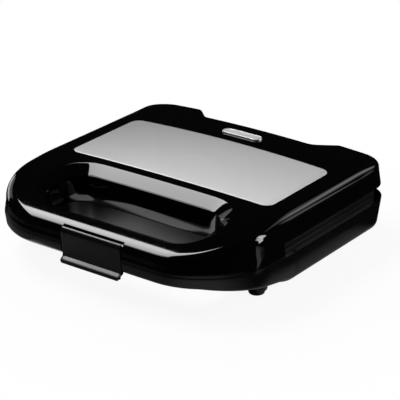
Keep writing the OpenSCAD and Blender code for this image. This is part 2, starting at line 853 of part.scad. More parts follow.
module latch() {
    t = latch_t;
    color("#1b1b1c")
    difference() {
        union() {
            translate([-LHX, 0, 0])
                rotate([90, 0, 90])
                    linear_extrude(latch_w) {
                        polygon([[Y0 - 0.5, LTOP - t / 2], [Y0 - latch_proud + 0.6, LBOT + 6.2],
                                 [Y0 - latch_proud + 1, LBOT + 5.5], [Y0 - latch_proud, LBOT + 3.8],
                                 [Y0 - latch_proud, LBOT + 1], [Y0 - latch_proud + 1, LBOT],
                                 [Y0 + 0.2, LBOT], [Y0 - latch_proud + 0.6 + t, LBOT + 3],
                                 [Y0 - 0.5 + t, LTOP - t / 2]]);
                        translate([Y0 - 0.5 + t / 2, LTOP - t / 2])
                            circle(d = t);
                    }
            translate([-LHX + 6, Y0 - 0.2, PZ - band_h - 3])
                cube([latch_w - 12, 5.8, 2.7]);
            for (s = [-1, 1])
                translate([s * (LHX - 3) - 3, 0, 0]) {
                    translate([0, LY, LZ])
                        rotate([0, 90, 0])
                            cylinder(h = 6, r = 2.6);
                    translate([0, Y0 + 0.6, LZ - 2.4])
                        cube([6, latch_in - 0.6, 4.4]);
                }
        }
        translate([-W, LY, LZ])
            rotate([0, 90, 0])
                cylinder(h = 2 * W, r = LPR + pin_play);
    }
}

module latch_pin() {
    color("#9a9a9c")
    translate([-LHX - 4.2, LY, LZ])
        rotate([0, 90, 0])
            cylinder(h = latch_w + 8.4, r = LPR);
}

module hinge_pins() {
    color("#9a9a9c")
    for (s = [-1, 1])
        translate([s > 0 ? LUGX - 0.4 : -LUGX - 2 * lug_l - 0.7, HY, MZ])
            rotate([0, 90, 0])
                cylinder(h = 2 * lug_l + 1.1, r = PR);
}

// Wall inset of the base and height of the band's underside
function ins(z) = tub_draft * (PZ - z) / (base_h - tub_r);
function under(y) = PZ - band_h - band_slope * max(0, y - Y0 - 11);

// Rings of the band and the tub; t is the thickness taken off for the inside
module band(t) {
    r = 3;
    q = max(1, r - t);
    loft([[for (p = BAND_LINE) let (z = under(p[1]) + t, d = t + ins(z) + q) [px(p, d), py(p, d), z]],
          [for (p = BAND_LINE) let (z = under(p[1]) + t, d = t + ins(z) + 0.29 * q)
           [px(p, d), py(p, d), z + 0.29 * q]],
          [for (p = BAND_LINE) let (z = under(p[1]) + t, d = t + ins(z)) [px(p, d), py(p, d), z + q]],
          [for (p = BAND_LINE) [px(p, t), py(p, t), PZ - part_gap + (t > 0 ? 2 : 0)]]],
         [0, SCY, under(SCY) + t], [0, SCY, PZ - part_gap + (t > 0 ? 2 : 0)]);
}

module tub(t) {
    r = max(2, tub_r - t);
    z0 = foot_h + t;
    loft([[for (p = TUB_LINE) let (d = t + tub_draft + r) [px(p, d), py(p, d), z0]],
          [for (p = TUB_LINE) let (d = t + tub_draft + 0.5 * r) [px(p, d), py(p, d), z0 + 0.134 * r]],
          [for (p = TUB_LINE) let (d = t + tub_draft + 0.134 * r) [px(p, d), py(p, d), z0 + 0.5 * r]],
          [for (p = TUB_LINE) let (d = t + tub_draft) [px(p, d), py(p, d), z0 + r]],
          [for (p = TUB_LINE) [px(p, t), py(p, t), PZ + (t > 0 ? 2 : 0)]]],
         [0, 36, z0], [0, 36, PZ + (t > 0 ? 2 : 0)]);
}

// Ring pad that carries the cord inlet bush in the rear wall
INX = 34;
INZ = foot_h + 14;
INY = YN - 0.4;

module base_shell() {
    color("#1c1c1d")
    difference() {
        union() {
            difference() {
                union() {
                    band(0);
                    tub(0);
                    for (s = [-1, 1])
                        translate([s * FTX, FTY, foot_h])
                            cylinder(h = 12, r = foot_d / 2 + 2);
                }
                difference() {
                    union() {
                        band(wall);
                        tub(wall);
                    }
                    translate([0, 0, -1])
                        linear_extrude(PZ + 10)
                            slot_2d(wall - 1);
                    translate([-BLX, Y0 - 1, 0])
                        cube([2 * BLX, BLY - Y0 + 1, PZ + 5]);
                    for (s = [-1, 1]) {
                        translate([s * BSX, BSY, 0])
                            cylinder(h = PZ - 10, r = 5);
                        translate([s * BRX, BRY, 0])
                            cylinder(h = foot_h + 16, r = 5);
                        translate([s * FRX, FRY, 0])
                            cylinder(h = foot_h + 6, r = 6);
                        translate([s * FTX, FTY, 0])
                            cylinder(h = foot_h + 11, r = foot_d / 2 + 2);
                    }
                    translate([INX, INY, INZ])
                        rotate([90, 0, 0])
                            cylinder(h = 6, r = 9);
                }
            }
            translate([INX, INY, INZ])
                rotate([90, 0, 0])
                    cylinder(h = 6, r = 9);
        }
        translate([0, 0, -1])
            linear_extrude(PZ + 10)
                slot_2d(-1);
        translate([-W - 1, YR, Z_DN])
            cube([2 * W + 2, Y1 - YR + 1, 10]);
        translate([-LHX - 0.5, Y0 - 1, 0])
            cube([latch_w + 1, 4.8, PZ + 5]);
        translate([-BLX - 1, Y0 + 1, PZ - part_gap])
            cube([2 * BLX + 2, 20, 6]);
        for (s = [-1, 1]) {
            translate([s * BSX, BSY, -1])
                cylinder(h = PZ - 12 + 1, d = screw_d * 1.85 + 0.6);
            translate([s * BSX, BSY, 0])
                cylinder(h = PZ, d = screw_d + 0.4);
            translate([s * BRX, BRY, -1])
                cylinder(h = foot_h + 14 + 1, d = screw_d * 1.85 + 0.6);
            translate([s * BRX, BRY, 0])
                cylinder(h = PZ, d = screw_d + 0.4);
            translate([s * FTX, FTY, foot_h - 1])
                cylinder(h = 6, r = 3);
            translate([s * FRX, FRY, foot_h - 1])
                cylinder(h = 6, r = 3);
        }
        translate([INX, INY + 1, INZ])
            rotate([90, 0, 0])
                cylinder(h = 9, r = inlet_d / 2 + 2);
    }
}

module base_liner() {
    color("#1a1a1b")
    difference() {
        union() {
            liner_frame(wall + 1.3);
            hinge_lug(LUGX + lug_l + FIT);
            translate([0, 0, PZ - part_gap - liner_t])
                linear_extrude(liner_t)
                    liner_front_2d(wall + 0.6, YR + 1);
            translate([-PLX, YR + FIT, FLB])
                cube([2 * PLX, rim_w - FIT, FACE - FLB]);
            for (s = [-1, 1]) {
                translate([s * BSX, BSY, PZ - 10])
                    cylinder(h = 10 - part_gap, r = 4.6);
                translate([s * BRX, BRY, foot_h + 16])
                    cylinder(h = FLB - foot_h - 15, r = 4.6);
            }
        }
        for (s = [-1, 1]) {
            translate([s * BSX, BSY, PZ - 11])
                cylinder(h = 9.5, d = screw_d);
            translate([s * BRX, BRY, foot_h + 15])
                cylinder(h = 10, d = screw_d);
        }
        translate([-W, HY, MZ])
            rotate([0, 90, 0])
                cylinder(h = 2 * W, r = PR);
    }
}

module base_screws() {
    color("#8a8a8c")
    for (s = [-1, 1]) {
        screw(s * BSX, BSY, PZ - 12, 10);
        screw(s * BRX, BRY, foot_h + 14, 10);
    }
}

// Thermostat, fuse and their holders sit under the bridge between the slices
TSY = PLY - 12;
FSY = PLY + 20;

module thermostat() {
    color("#d8d2c4")
    translate([0, TSY, TUB])
        cylinder(h = SLAB - TUB, d = stat_d);
}

module thermostat_bracket() {
    color("#9a9a9c")
    translate([-PKX / 2, TSY - 6, TUB - 0.8])
        cube([PKX, 12, 0.8]);
}

module thermal_fuse() {
    color("#b9b6ae")
    translate([0, FSY, SLAB - 2.1])
        rotate([-90, 0, 0])
            cylinder(h = 11, r = 2);
}

module fuse_clip() {
    color("#9a9a9c")
    translate([0, FSY + 8, SLAB - 2.1])
        rotate([90, 0, 0])
            linear_extrude(5)
                intersection() {
                    strap_2d(2.1);
                    square([14, 20], center = true);
                }
}

TBX = -W * 0.29;
TBY = PLY + 30;
TBZ = foot_h + wall;
TBP = block_l * 0.31;

module terminal_block() {
    color("#e6e2d6")
    difference() {
        translate([TBX - block_l / 2, TBY - block_d / 2, TBZ])
            cube([block_l, block_d, PANZ - TBZ - 1]);
        for (k = [-1, 0, 1])
            translate([TBX + k * TBP, TBY, PANZ - 4])
                cylinder(h = 5, d = block_d * 0.32);
    }
}

module terminal_screws() {
    color("#b8a06a")
    for (k = [-1, 0, 1])
        translate([TBX + k * TBP, TBY, PANZ - 4])
            cylinder(h = 2, d = block_d * 0.32 - 0.4);
}

module base_wires() {
    z = TBZ + 3;
    r = wire_d / 2;
    y = PNY1 + 5.1 + r;
    t = TBY + block_d / 2;
    color("#c7b9a0")
    union() {
        wire([[TBX - TBP, t, z], [TBX - TBP, t + 12, z], [TBX - TBP - 4, y - 4, z + 1], [17 - LKX, y, EZ - 5],
              [5 - LKX, PNY1 + 8, EZ - 0.6], [-LKX, PNY1 + 10, EZ], [-LKX, PNY1 + 11, EZ]], r, [0, 0.3, 1]);
        wire([[TBX, t, z], [TBX, t + 12, z], [TBX + 4, y - 3, z + 2], [TBX + 12, y, EZ - 4],
              [-EL - 6, y, EZ], [1 - EL, y, EZ]], r, [0, 0.3, 1]);
        wire([[TBX + TBP, t, z], [TBX + TBP, t + 12, z], [TBX + TBP + 6, y - 2, z + 1],
              [-6, y + 0.6, EZ - 6], [0, y, EZ], [0, y - 1, FLB - 4], [0, PNY1 + 2, FLB - 2.4],
              [0, PNY1 - 6, FLB - 2.4], [0, FSY + 18, FLB + 1], [0, FSY + 14, SLAB - 2.1],
              [0, FSY + 11, SLAB - 2.1]], r * 0.9, [1, 0, 0.2]);
        wire([[0, FSY, SLAB - 2.1], [0, TSY + stat_d / 2, SLAB - 2.1]], r * 0.9, [1, 0, 0.2]);
    }
}

module cord_bush() {
    r = inlet_d / 2;
    color("#121213")
    translate([INX, INY, INZ])
        rotate([90, 0, 0])
            difference() {
                union() {
                    translate([0, 0, -2.2])
                        cylinder(h = 2.2, r = r + 3.5);
                    cylinder(h = 6, r = r + 2);
                    translate([0, 0, 6])
                        cylinder(h = 2, r = r + 3);
                }
                translate([0, 0, -3])
                    cylinder(h = 12, r = r);
            }
}

module foot(x, y) {
    translate([x, y, 0])
        rotate_extrude()
            polygon([[0, 0], [foot_d / 2 - 1.5, 0], [foot_d / 2 - 0.45, 0.45], [foot_d / 2, 1.5],
                     [foot_d / 2, foot_h], [3, foot_h], [3, foot_h + 4.5], [0, foot_h + 4.5]]);
}

module rubber_feet() {
    color("#141414")
    for (s = [-1, 1]) {
        foot(s * FTX, FTY);
        foot(s * FRX, FRY);
    }
}

lid_shell();
lid_inlay();
lid_badge();
lid_liner();
upper_plate();
upper_element();
upper_element_clips();
upper_reflector();
upper_plate_screws();
lid_screws();
lid_wires();
link_cable_lid();
latch();
latch_pin();
hinge_pins();
base_shell();
base_liner();
lower_plate();
lower_element();
lower_element_clips();
lower_reflector();
lower_plate_screws();
base_screws();
thermostat();
thermostat_bracket();
thermal_fuse();
fuse_clip();
terminal_block();
terminal_screws();
base_wires();
link_cable_base();
cord_bush();
rubber_feet();
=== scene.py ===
"""Studio scene of a closed two-slice sandwich toaster, dressed over its packed construction model."""
import logging
import math
from dataclasses import dataclass, field
from enum import Enum

import bmesh
import bpy
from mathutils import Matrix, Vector


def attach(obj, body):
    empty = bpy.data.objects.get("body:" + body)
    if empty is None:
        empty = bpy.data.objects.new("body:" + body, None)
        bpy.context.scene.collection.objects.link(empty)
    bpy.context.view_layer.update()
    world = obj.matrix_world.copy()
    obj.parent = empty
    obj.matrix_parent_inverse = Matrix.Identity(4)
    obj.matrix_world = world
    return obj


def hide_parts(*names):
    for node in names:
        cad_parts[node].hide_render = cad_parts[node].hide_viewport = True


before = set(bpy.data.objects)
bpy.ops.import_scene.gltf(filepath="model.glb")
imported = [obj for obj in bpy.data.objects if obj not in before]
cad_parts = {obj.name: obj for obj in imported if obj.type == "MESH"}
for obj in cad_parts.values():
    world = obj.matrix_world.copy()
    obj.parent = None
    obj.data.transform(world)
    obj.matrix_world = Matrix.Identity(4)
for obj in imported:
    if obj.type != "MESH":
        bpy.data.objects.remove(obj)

LOG = logging.getLogger("sandwich_toaster")
MM = 0.001
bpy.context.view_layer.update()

Flat = tuple[float, float]
Point = tuple[float, float, float]
Colour = tuple[float, float, float]
Ring = list[Point]
# a soft change: the distances where it starts and ends, and the values there
Ramp = tuple[float, float, float, float]


class Body(Enum):
    """Moving bodies of the toaster."""

    BASE = "base"
    LID = "lid"
    LATCH = "latch"


class Slot(Enum):
    """Material slots of the construction record."""

    GLOSS_BLACK = "gloss_black"
    SATIN_BLACK = "satin_black"
    MATT_BLACK = "matt_black"
    INLAY_STEEL = "inlay_steel"
    BADGE_METAL = "badge_metal"
    PLATE_COATING = "plate_coating"
    FOOT_RUBBER = "foot_rubber"


class Axis(Enum):
    """Axes that a round piece is turned about, each with its number in a point."""

    X = 0
    Y = 1
    Z = 2


# ---------------------------------------------------------------- plan shapes


def eased(value: float, start: float, end: float) -> float:
    """Return how far a value has come from start to end, with soft ends.

    Args:
        value: The value.
        start: Value that gives 0.
        end: Value that gives 1.

    Returns:
        A share from 0 to 1.
    """
    u = min(1.0, max(0.0, (value - start) / (end - start)))
    return u * u * (3.0 - 2.0 * u)


def between(starts: Ring | list[Flat], ends: Ring | list[Flat], u: float) -> list[Flat]:
    """Return the places in plan on the way from one ring to another.

    Args:
        starts: The first ring.
        ends: The second ring, with as many places.
        u: Share of the way, from 0 at the first ring to 1 at the second.

    Returns:
        One place in plan for each pair.
    """
    return [(a[0] + (b[0] - a[0]) * u, a[1] + (b[1] - a[1]) * u) for a, b in zip(starts, ends)]


@dataclass(frozen=True)
class Station:
    """One place on a plan outline, with its outward normal.

    Args:
        x: Position across, in millimetres.
        y: Position front to rear, in millimetres.
        nx: Outward normal across.
        ny: Outward normal front to rear.
    """

    x: float
    y: float
    nx: float
    ny: float

    def inset(self, d: float) -> Flat:
        """Return the place moved inward by d millimetres."""
        return self.x - d * self.nx, self.y - d * self.ny


def level(line: list[Station], d: float, z: float) -> Ring:
    """Return an outline as a ring at height z, inset by d."""
    return [(*s.inset(d), z) for s in line]


@dataclass(frozen=True)
class Plan:
    """Shared sizes of the shells, in millimetres, in the construction model's frame."""

    # outline of lid and base
    half: float = 124.0
    front: float = -122.2
    rear: float = 124.8
    front_r: float = 64.0
    rear_r: float = 27.0
    notch: float = 108.2
    notch_r: float = 8.0
    ear_x: float = 74.0
    ear_r: float = 10.0
    ramp_deg: float = 135.0
    # where the shells meet, and the recess along their sides
    parting: float = 34.0
    gap: float = 0.15
    side_step: float = -37.2
    lid_side: float = 42.5
    base_side: float = 31.5
    wall: float = 2.4
    edge: float = 0.35
    # finger slot
    slot_half: float = 79.0
    slot_front: float = -95.7
    slot_rear: float = -45.7
    slot_r: float = 22.0
    # the lid's top surface
    top: float = 64.0
    nose: float = -26.2
    nose_curve: float = 550.0
    tail: float = 69.2
    tail_curve: float = 900.0
    crown: float = 3.3
    crown_half: float = 100.0
    crown_start: float = -106.2
    crown_end: float = 63.8
    # recess behind the latch, deeper above its step and on the shells' inner side
    recess_half: float = 30.0
    recess_depth: float = 3.8
    recess_step: float = 45.7
    recess_top: float = 5.1
    inner_half: float = 36.0
    inner_depth: float = 8.0
    # places of the right-hand feet and of the cord inlet
    feet: tuple[Flat, Flat] = ((104.0, -47.2), (100.0, 88.2))
    inlet: Point = (34.0, 107.8, 18.0)

    def top_z(self, x: float, y: float) -> float:
        """Work out the height of the lid's top surface.

        Args:
            x: Position across.
            y: Position front to rear.

        Returns:
            The height.
        """
        fall = max(0.0, self.nose - y) ** 2 / self.nose_curve + max(0.0, y - self.tail) ** 2 / self.tail_curve
        crown = self.crown * eased(y, self.crown_start, self.crown_end)
        return self.top - fall + crown * (1.0 - (x / self.crown_half) ** 2)

    @staticmethod
    def bow(cx: float, cy: float, r: float, start: float, end: float, n: int) -> list[Station]:
        """Return stations along an arc.

        Args:
            cx: Position of the centre across.
            cy: Position of the centre front to rear.
            r: Radius, negative for an inward arc such as the root of a notch.
            start: Angle of the first station's normal, in degrees.
            end: Angle of the last station's normal, in degrees.
            n: Number of steps.

        Returns:
            One station more than there are steps.
        """
        turns = [math.radians(start + (end - start) * k / n) for k in range(n + 1)]
        return [Station(cx + r * math.cos(a), cy + r * math.sin(a), math.cos(a), math.sin(a)) for a in turns]

    @staticmethod
    def mirrored(half: list[Station]) -> list[Station]:
        """Return a closed outline from its right half, which starts and ends on the centre line."""
        return half + [Station(-s.x, s.y, -s.nx, s.ny) for s in reversed(half[1:-1])]

    def front_half(self) -> list[Station]:
        """Lay out the right half of the front edge and its corner, with a step at the latch recess.

        Returns:
            The stations, from the centre line to the side.
        """
        step = [self.recess_half - 0.02, self.recess_half + 0.18]
        xs = [0.0, 7.0, 14.0, 21.0, 26.0, *step, 37.0, 45.0, 53.0]
        flat = [Station(x, self.front, 0.0, -1.0) for x in xs]
        return flat + self.bow(self.half - self.front_r, self.front + self.front_r, self.front_r, -90, 0, 30)

    def rear_half(self) -> list[Station]:
        """Lay out the right half of the rear: corner, ear, ramp and notch.

        Returns:
            The stations, from the side to the centre line.
        """
        a = math.radians(self.ramp_deg)
        both = self.ear_r + self.notch_r
        drop = self.rear - self.notch - both * (1 - math.sin(a))
        nx = self.ear_x + both * math.cos(a) - drop / math.tan(a - math.pi / 2)
        parts = self.bow(self.half - self.rear_r, self.rear - self.rear_r, self.rear_r, 0, 90, 18)
        parts += [Station(x, self.rear, 0.0, 1.0) for x in (90.0, 82.0)]
        parts += self.bow(self.ear_x, self.rear - self.ear_r, self.ear_r, 90, self.ramp_deg, 6)
        parts += self.bow(nx, self.notch + self.notch_r, -self.notch_r, self.ramp_deg, 90, 6)
        return parts + [Station(nx * k / 7, self.notch, 0.0, 1.0) for k in range(6, -1, -1)]

    def side(self, y0: float, y1: float, step: float) -> list[Station]:
        """Return stations up the right side, with a step at the side recess.

        Args:
            y0: Where the side starts; no station stands there.
            y1: Where the side ends; no station stands there.
            step: Distance between stations, roughly.

        Returns:
            The stations, front to rear.
        """
        n = max(2, round((y1 - y0) / step))
        ys = [y0 + (y1 - y0) * k / n for k in range(1, n)]
        if y0 < self.side_step < y1:
            clear = [y for y in ys if abs(y - self.side_step) > 2]
            ys = sorted(clear + [self.side_step - 0.1, self.side_step + 0.1])
        return [Station(self.half, y, 1.0, 0.0) for y in ys]

    def outline(self) -> list[Station]:
        """Return the shells' whole plan outline."""
        y0, y1 = self.front + self.front_r, self.rear - self.rear_r
        return self.mirrored(self.front_half() + self.side(y0, y1, 6.0) + self.rear_half())

    def slot_line(self, line: list[Station]) -> list[Station]:
        """Return the finger slot's stations, each on the ray from the slot's middle to an outer station.

        Args:
            line: The outer outline.

        Returns:
            As many stations on the slot's edge, their normals pointing away from the slot's middle.
        """
        cy = (self.slot_front + self.slot_rear) / 2
        a, b = self.slot_half - self.slot_r, (self.slot_rear - self.slot_front) / 2 - self.slot_r
        halvings = 50
        out = []
        for s in line:
            dx, dy = s.x, s.y - cy
            length = math.hypot(dx, dy)
            dx, dy = dx / length, dy / length
            lo, hi = 0.0, length
            for _ in range(halvings):
                mid = (lo + hi) / 2
                qx, qy = abs(dx * mid) - a, abs(dy * mid) - b
                d = math.hypot(max(qx, 0), max(qy, 0)) + min(max(qx, qy), 0) - self.slot_r
                lo, hi = (mid, hi) if d < 0 else (lo, mid)
            px, py = dx * lo, dy * lo
            qx, qy = max(abs(px) - a, 0.0), max(abs(py) - b, 0.0)
            n = math.hypot(qx, qy)
            out.append(Station(px, py + cy, math.copysign(qx / n, px), math.copysign(qy / n, py)))
        return out

    def recessed(self, ring: Ring, inner: bool) -> Ring:
        """Push a shell's ring back behind the latch.

        Args:
            ring: The ring.
            inner: Whether it lies on the shell's inner side.

        Returns:
            The ring, with the places behind the latch moved to the rear.
        """
        out = []
        for x, y, z in ring:
            half, depth = self.recess_half, self.recess_depth if z < self.recess_step else self.recess_top
            if inner:
                half, depth = self.inner_half, self.inner_depth
            out.append((x, max(y, self.front + depth) if abs(x) < half else y, z))
        return out


PLAN = Plan()


# ---------------------------------------------------------------- modelling helpers


class Maker:
    """Edit-mode modelling steps that several pieces share."""

    @staticmethod
    def pick(obj: bpy.types.Object | None = None) -> None:
        """Leave edit mode and deselect everything.

        Args:
            obj: An object to select and make active afterwards.
        """
        if bpy.context.object and bpy.context.object.mode != "OBJECT":
            bpy.ops.object.mode_set(mode="OBJECT")
        bpy.ops.object.select_all(action="DESELECT")
        if obj is not None:
            obj.select_set(True)
            bpy.context.view_layer.objects.active = obj

    @staticmethod
    def skin(name: str, rings: list[Ring], tube: bool = False, caps: bool = False) -> bpy.types.Object:
        """Model a skin by extruding a circle of edges from ring to ring.

        Args:
            name: Name of the new piece.
            rings: Rings of places in millimetres, all with the same number of places.
            tube: Join the last ring to the first, for a solid with a hole through it.
            caps: Fill the first and last rings.

        Returns:
            The new object, in object mode, with its normals pointing outward.
        """
        Maker.pick()
        n = len(rings[0])
        bpy.ops.mesh.primitive_circle_add(vertices=n, radius=1.0, location=(0, 0, 0))
        obj = bpy.context.active_object
        obj.name = obj.data.name = name
        bpy.ops.object.mode_set(mode="EDIT")
        bpy.ops.mesh.select_mode(type="VERT")
        mesh = Maker._edited(obj)
        at = mesh.verts[0]
        order = [at.index]
        while len(order) < n:
            at = next(e.other_vert(at) for e in at.link_edges if e.other_vert(at).index not in order[-2:])
            order.append(at.index)
        first = list(order)
        Maker._place(obj, order, rings[0])
        if caps:
            bpy.ops.mesh.select_all(action="SELECT")
            bpy.ops.mesh.edge_face_add()
        for ring in rings[1:]:
            bpy.ops.mesh.extrude_edges_move()
            old = {index: k for k, index in enumerate(order)}
            new = [0] * n
            mesh = Maker._edited(obj)
            for vert in (v for v in mesh.verts if v.select):
                others = [e.other_vert(vert).index for e in vert.link_edges]
                new[next(old[index] for index in others if index in old)] = vert.index
            order = new
            Maker._place(obj, order, ring)
        if caps:
            bpy.ops.mesh.edge_face_add()
        if tube:
            mesh = Maker._edited(obj)
            for k in range(n):
                j = (k + 1) % n
                mesh.faces.new([mesh.verts[i] for i in (order[k], order[j], first[j], first[k])])
            bmesh.update_edit_mesh(obj.data)
        bpy.ops.mesh.select_all(action="SELECT")
        bpy.ops.mesh.normals_make_consistent(inside=False)
        bpy.ops.object.mode_set(mode="OBJECT")
        return obj

    @staticmethod
    def _edited(obj: bpy.types.Object) -> bmesh.types.BMesh:
        """Open a piece's mesh, ready for its vertices to be looked up.

        Args:
            obj: The piece, in edit mode.

        Returns:
            Its mesh.
        """
        mesh = bmesh.from_edit_mesh(obj.data)
        mesh.verts.ensure_lookup_table()
        return mesh

    @staticmethod
    def _place(obj: bpy.types.Object, order: list[int], ring: Ring) -> None:
        """Put a piece's vertices onto a ring's places.

        Args:
            obj: The piece, in edit mode.
            order: The vertices' indices, in the ring's order.
            ring: Their places in millimetres.
        """
        mesh = Maker._edited(obj)
        for index, (x, y, z) in zip(order, ring):
            mesh.verts[index].co = Vector((x * MM, y * MM, z * MM))
        bmesh.update_edit_mesh(obj.data)

    @staticmethod
    def apply(obj: bpy.types.Object, kind: str, **settings: object) -> None:
        """Add one modifier and apply it.

        Args:
            obj: The piece.
            kind: The modifier's type.
            **settings: The modifier's settings.
        """
        Maker.pick(obj)
        modifier = obj.modifiers.new(kind.title(), kind)
        for key, value in settings.items():
            setattr(modifier, key, value)
        bpy.ops.object.modifier_apply(modifier=modifier.name)

    @staticmethod
    def smooth(obj: bpy.types.Object, degrees: float = 35.0) -> None:
        """Shade a piece smooth, except across edges sharper than an angle."""
        Maker.pick(obj)
        bpy.ops.object.shade_smooth_by_angle(angle=math.radians(degrees))

    @staticmethod
    def rounded(obj: bpy.types.Object, width: float, segments: int, degrees: float = 35.0) -> None:
        """Round a piece's sharp edges, then shade it smooth.

        Args:
            obj: The piece.
            width: Width of the rounding in millimetres.
            segments: Number of faces across the rounding.
            degrees: Angle from which an edge is sharp.
        """
        Maker.apply(obj, "BEVEL", width=width * MM, segments=segments, limit_method="ANGLE",
                    angle_limit=math.radians(degrees))
        Maker.smooth(obj, degrees)

    @staticmethod
    def joined(name: str, parts: list[bpy.types.Object], degrees: float = 40.0) -> bpy.types.Object:
        """Join several objects into one piece and shade it smooth.

        Args:
            name: Name of the piece.
            parts: The objects.
            degrees: Angle from which an edge stays sharp.

        Returns:
            The piece.
        """
        Maker.pick(parts[0])
        for part in parts:
            part.select_set(True)
        bpy.ops.object.join()
        parts[0].name = parts[0].data.name = name
        Maker.smooth(parts[0], degrees)
        return parts[0]

    @staticmethod
    def box(low: Point, high: Point) -> bpy.types.Object:
        """Add a block, with its place in its mesh.

        Args:
            low: Its lowest corner, in millimetres.
            high: Its highest corner, in millimetres.

        Returns:
            The block.
        """
        Maker.pick()
        centre = [(a + b) / 2 * MM for a, b in zip(low, high)]
        bpy.ops.mesh.primitive_cube_add(size=1.0, location=centre)
        obj = bpy.context.active_object
        obj.scale = [(b - a) * MM for a, b in zip(low, high)]
        bpy.ops.object.transform_apply(location=True, rotation=True, scale=True)
        return obj

    @staticmethod
    def turned(name: str, profile: list[Flat], place: Point, axis: Axis = Axis.Z, sides: int = 56,
               tube: bool = False) -> bpy.types.Object:
        """Model a round piece by lofting rings from a profile.

        Args:
            name: Name of the piece.
            profile: Pairs of radius and position along the axis, in millimetres.
            place: Where the axis starts, in millimetres.
            axis: Direction of the axis.
            sides: Number of sides.
            tube: Close the profile on itself instead of filling its ends.

        Returns:
            The new piece.
        """
        rings = []
        for r, h in profile:
            ring = []
            for k in range(sides):
                a = 2 * math.pi * k / sides
                step = [r * math.cos(a), r * math.sin(a)]
                step.insert(axis.value, h)
                ring.append(tuple(start + d for start, d in zip(place, step)))
            rings.append(ring)
        return Maker.skin(name, rings, tube=tube, caps=not tube)

    @staticmethod
    def copied(obj: bpy.types.Object, dx: float, dy: float) -> bpy.types.Object:
        """Copy a piece with its own mesh.

        Args:
            obj: The piece.
            dx: Step across, in millimetres.
            dy: Step front to rear, in millimetres.

        Returns:
            The copy, moved by the step.
        """
        twin = obj.copy()
        twin.data = obj.data.copy()
        bpy.context.collection.objects.link(twin)
        for vert in twin.data.vertices:
            vert.co += Vector((dx * MM, dy * MM, 0.0))
        return twin

    @staticmethod
    def cut(obj: bpy.types.Object, tool: bpy.types.Object) -> None:
        """Cut a tool's shape out of a piece, then remove the tool."""
        Maker.apply(obj, "BOOLEAN", operation="DIFFERENCE", object=tool, solver="EXACT")
        bpy.data.objects.remove(tool)


# ---------------------------------------------------------------- finishes


@dataclass(frozen=True)
class Wiring:
    """A shader node tree, with short ways to add nodes and join them.

    Args:
        tree: The node tree.
    """

    tree: bpy.types.NodeTree

    @staticmethod
    def material(name: str) -> tuple[bpy.types.Material, "Wiring"]:
        """Start a material.

        Args:
            name: Its name.

        Returns:
            The material and its wiring.
        """
        made = bpy.data.materials.new(name)
        made.use_nodes = True
        return made, Wiring(made.node_tree)

    def add(self, kind: str, inputs: dict[str | int, object] | None = None,
            **settings: object) -> bpy.types.Node:
        """Add a node.

        Args:
            kind: Type of the node.
            inputs: Sockets or plain values for its inputs, named or numbered.
            **settings: The node's own settings, made before its inputs are filled.

        Returns:
            The node.
        """
        node = self.tree.nodes.new(kind)
        for key, value in settings.items():
            setattr(node, key, value)
        return self.fill(node, inputs or {})

    def fill(self, node: bpy.types.Node, inputs: dict[str | int, object]) -> bpy.types.Node:
        """Join sockets to a node's inputs, or give them plain values.

        Args:
            node: The node.
            inputs: Sockets or plain values, by the input's name or number.

        Returns:
            The same node.
        """
        for key, value in inputs.items():
            if isinstance(value, bpy.types.NodeSocket):
                self.tree.links.new(value, node.inputs[key])
            else:
                node.inputs[key].default_value = value
        return node

    def found(self, kind: str) -> bpy.types.Node:
        """Return the tree's node of a type that it starts with, such as its shader."""
        return next(n for n in self.tree.nodes if n.type == kind)

    def place(self) -> bpy.types.NodeSocket:
        """Return the place on the piece, in object coordinates."""
        return self.add("ShaderNodeTexCoord").outputs["Object"]

    def maths(self, operation: str, *values: object) -> bpy.types.NodeSocket:
        """Return the result of a math node."""
        return self.add("ShaderNodeMath", dict(enumerate(values)), operation=operation).outputs["Value"]

    def vector(self, operation: str, *values: object, out: str = "Vector") -> bpy.types.NodeSocket:
        """Return the vector, or the named output, of a vector math node."""
        return self.add("ShaderNodeVectorMath", dict(enumerate(values)), operation=operation).outputs[out]

    def ramp(self, value: bpy.types.NodeSocket, start: float, end: float, low: object, high: object,
             soft: bool = True) -> bpy.types.NodeSocket:
        """Map a value from one span to another.

        Args:
            value: The value.
            start: Value that gives low.
            end: Value that gives high.
            low: Result at the start and before it.
            high: Result at the end and beyond it.
            soft: Ease the change at both ends.

        Returns:
            The result.
        """
        span = {"Value": value, "From Min": start, "From Max": end, "To Min": low, "To Max": high}
        kind = "SMOOTHSTEP" if soft else "LINEAR"
        return self.add("ShaderNodeMapRange", span, interpolation_type=kind).outputs["Result"]

    def noise(self, place: bpy.types.NodeSocket, scale: object, detail: float) -> bpy.types.NodeSocket:
        """Return a soft noise at a place."""
        inputs = {"Vector": place, "Scale": scale, "Detail": detail}
        return self.add("ShaderNodeTexNoise", inputs).outputs["Fac"]

    def blend(self, share: bpy.types.NodeSocket, first: Colour, second: Colour) -> bpy.types.NodeSocket:
        """Return a colour between two, by a share."""
        inputs = {"Factor": share, "A": (*first, 1.0), "B": (*second, 1.0)}
        return self.add("ShaderNodeMix", inputs, data_type="RGBA").outputs["Result"]

    def bump(self, height: bpy.types.NodeSocket, strength: float, depth_mm: float) -> bpy.types.NodeSocket:
        """Return the normal that a height gives, with the bump's depth in millimetres."""
        inputs = {"Height": height, "Strength": strength, "Distance": depth_mm * MM}
        return self.add("ShaderNodeBump", inputs).outputs["Normal"]


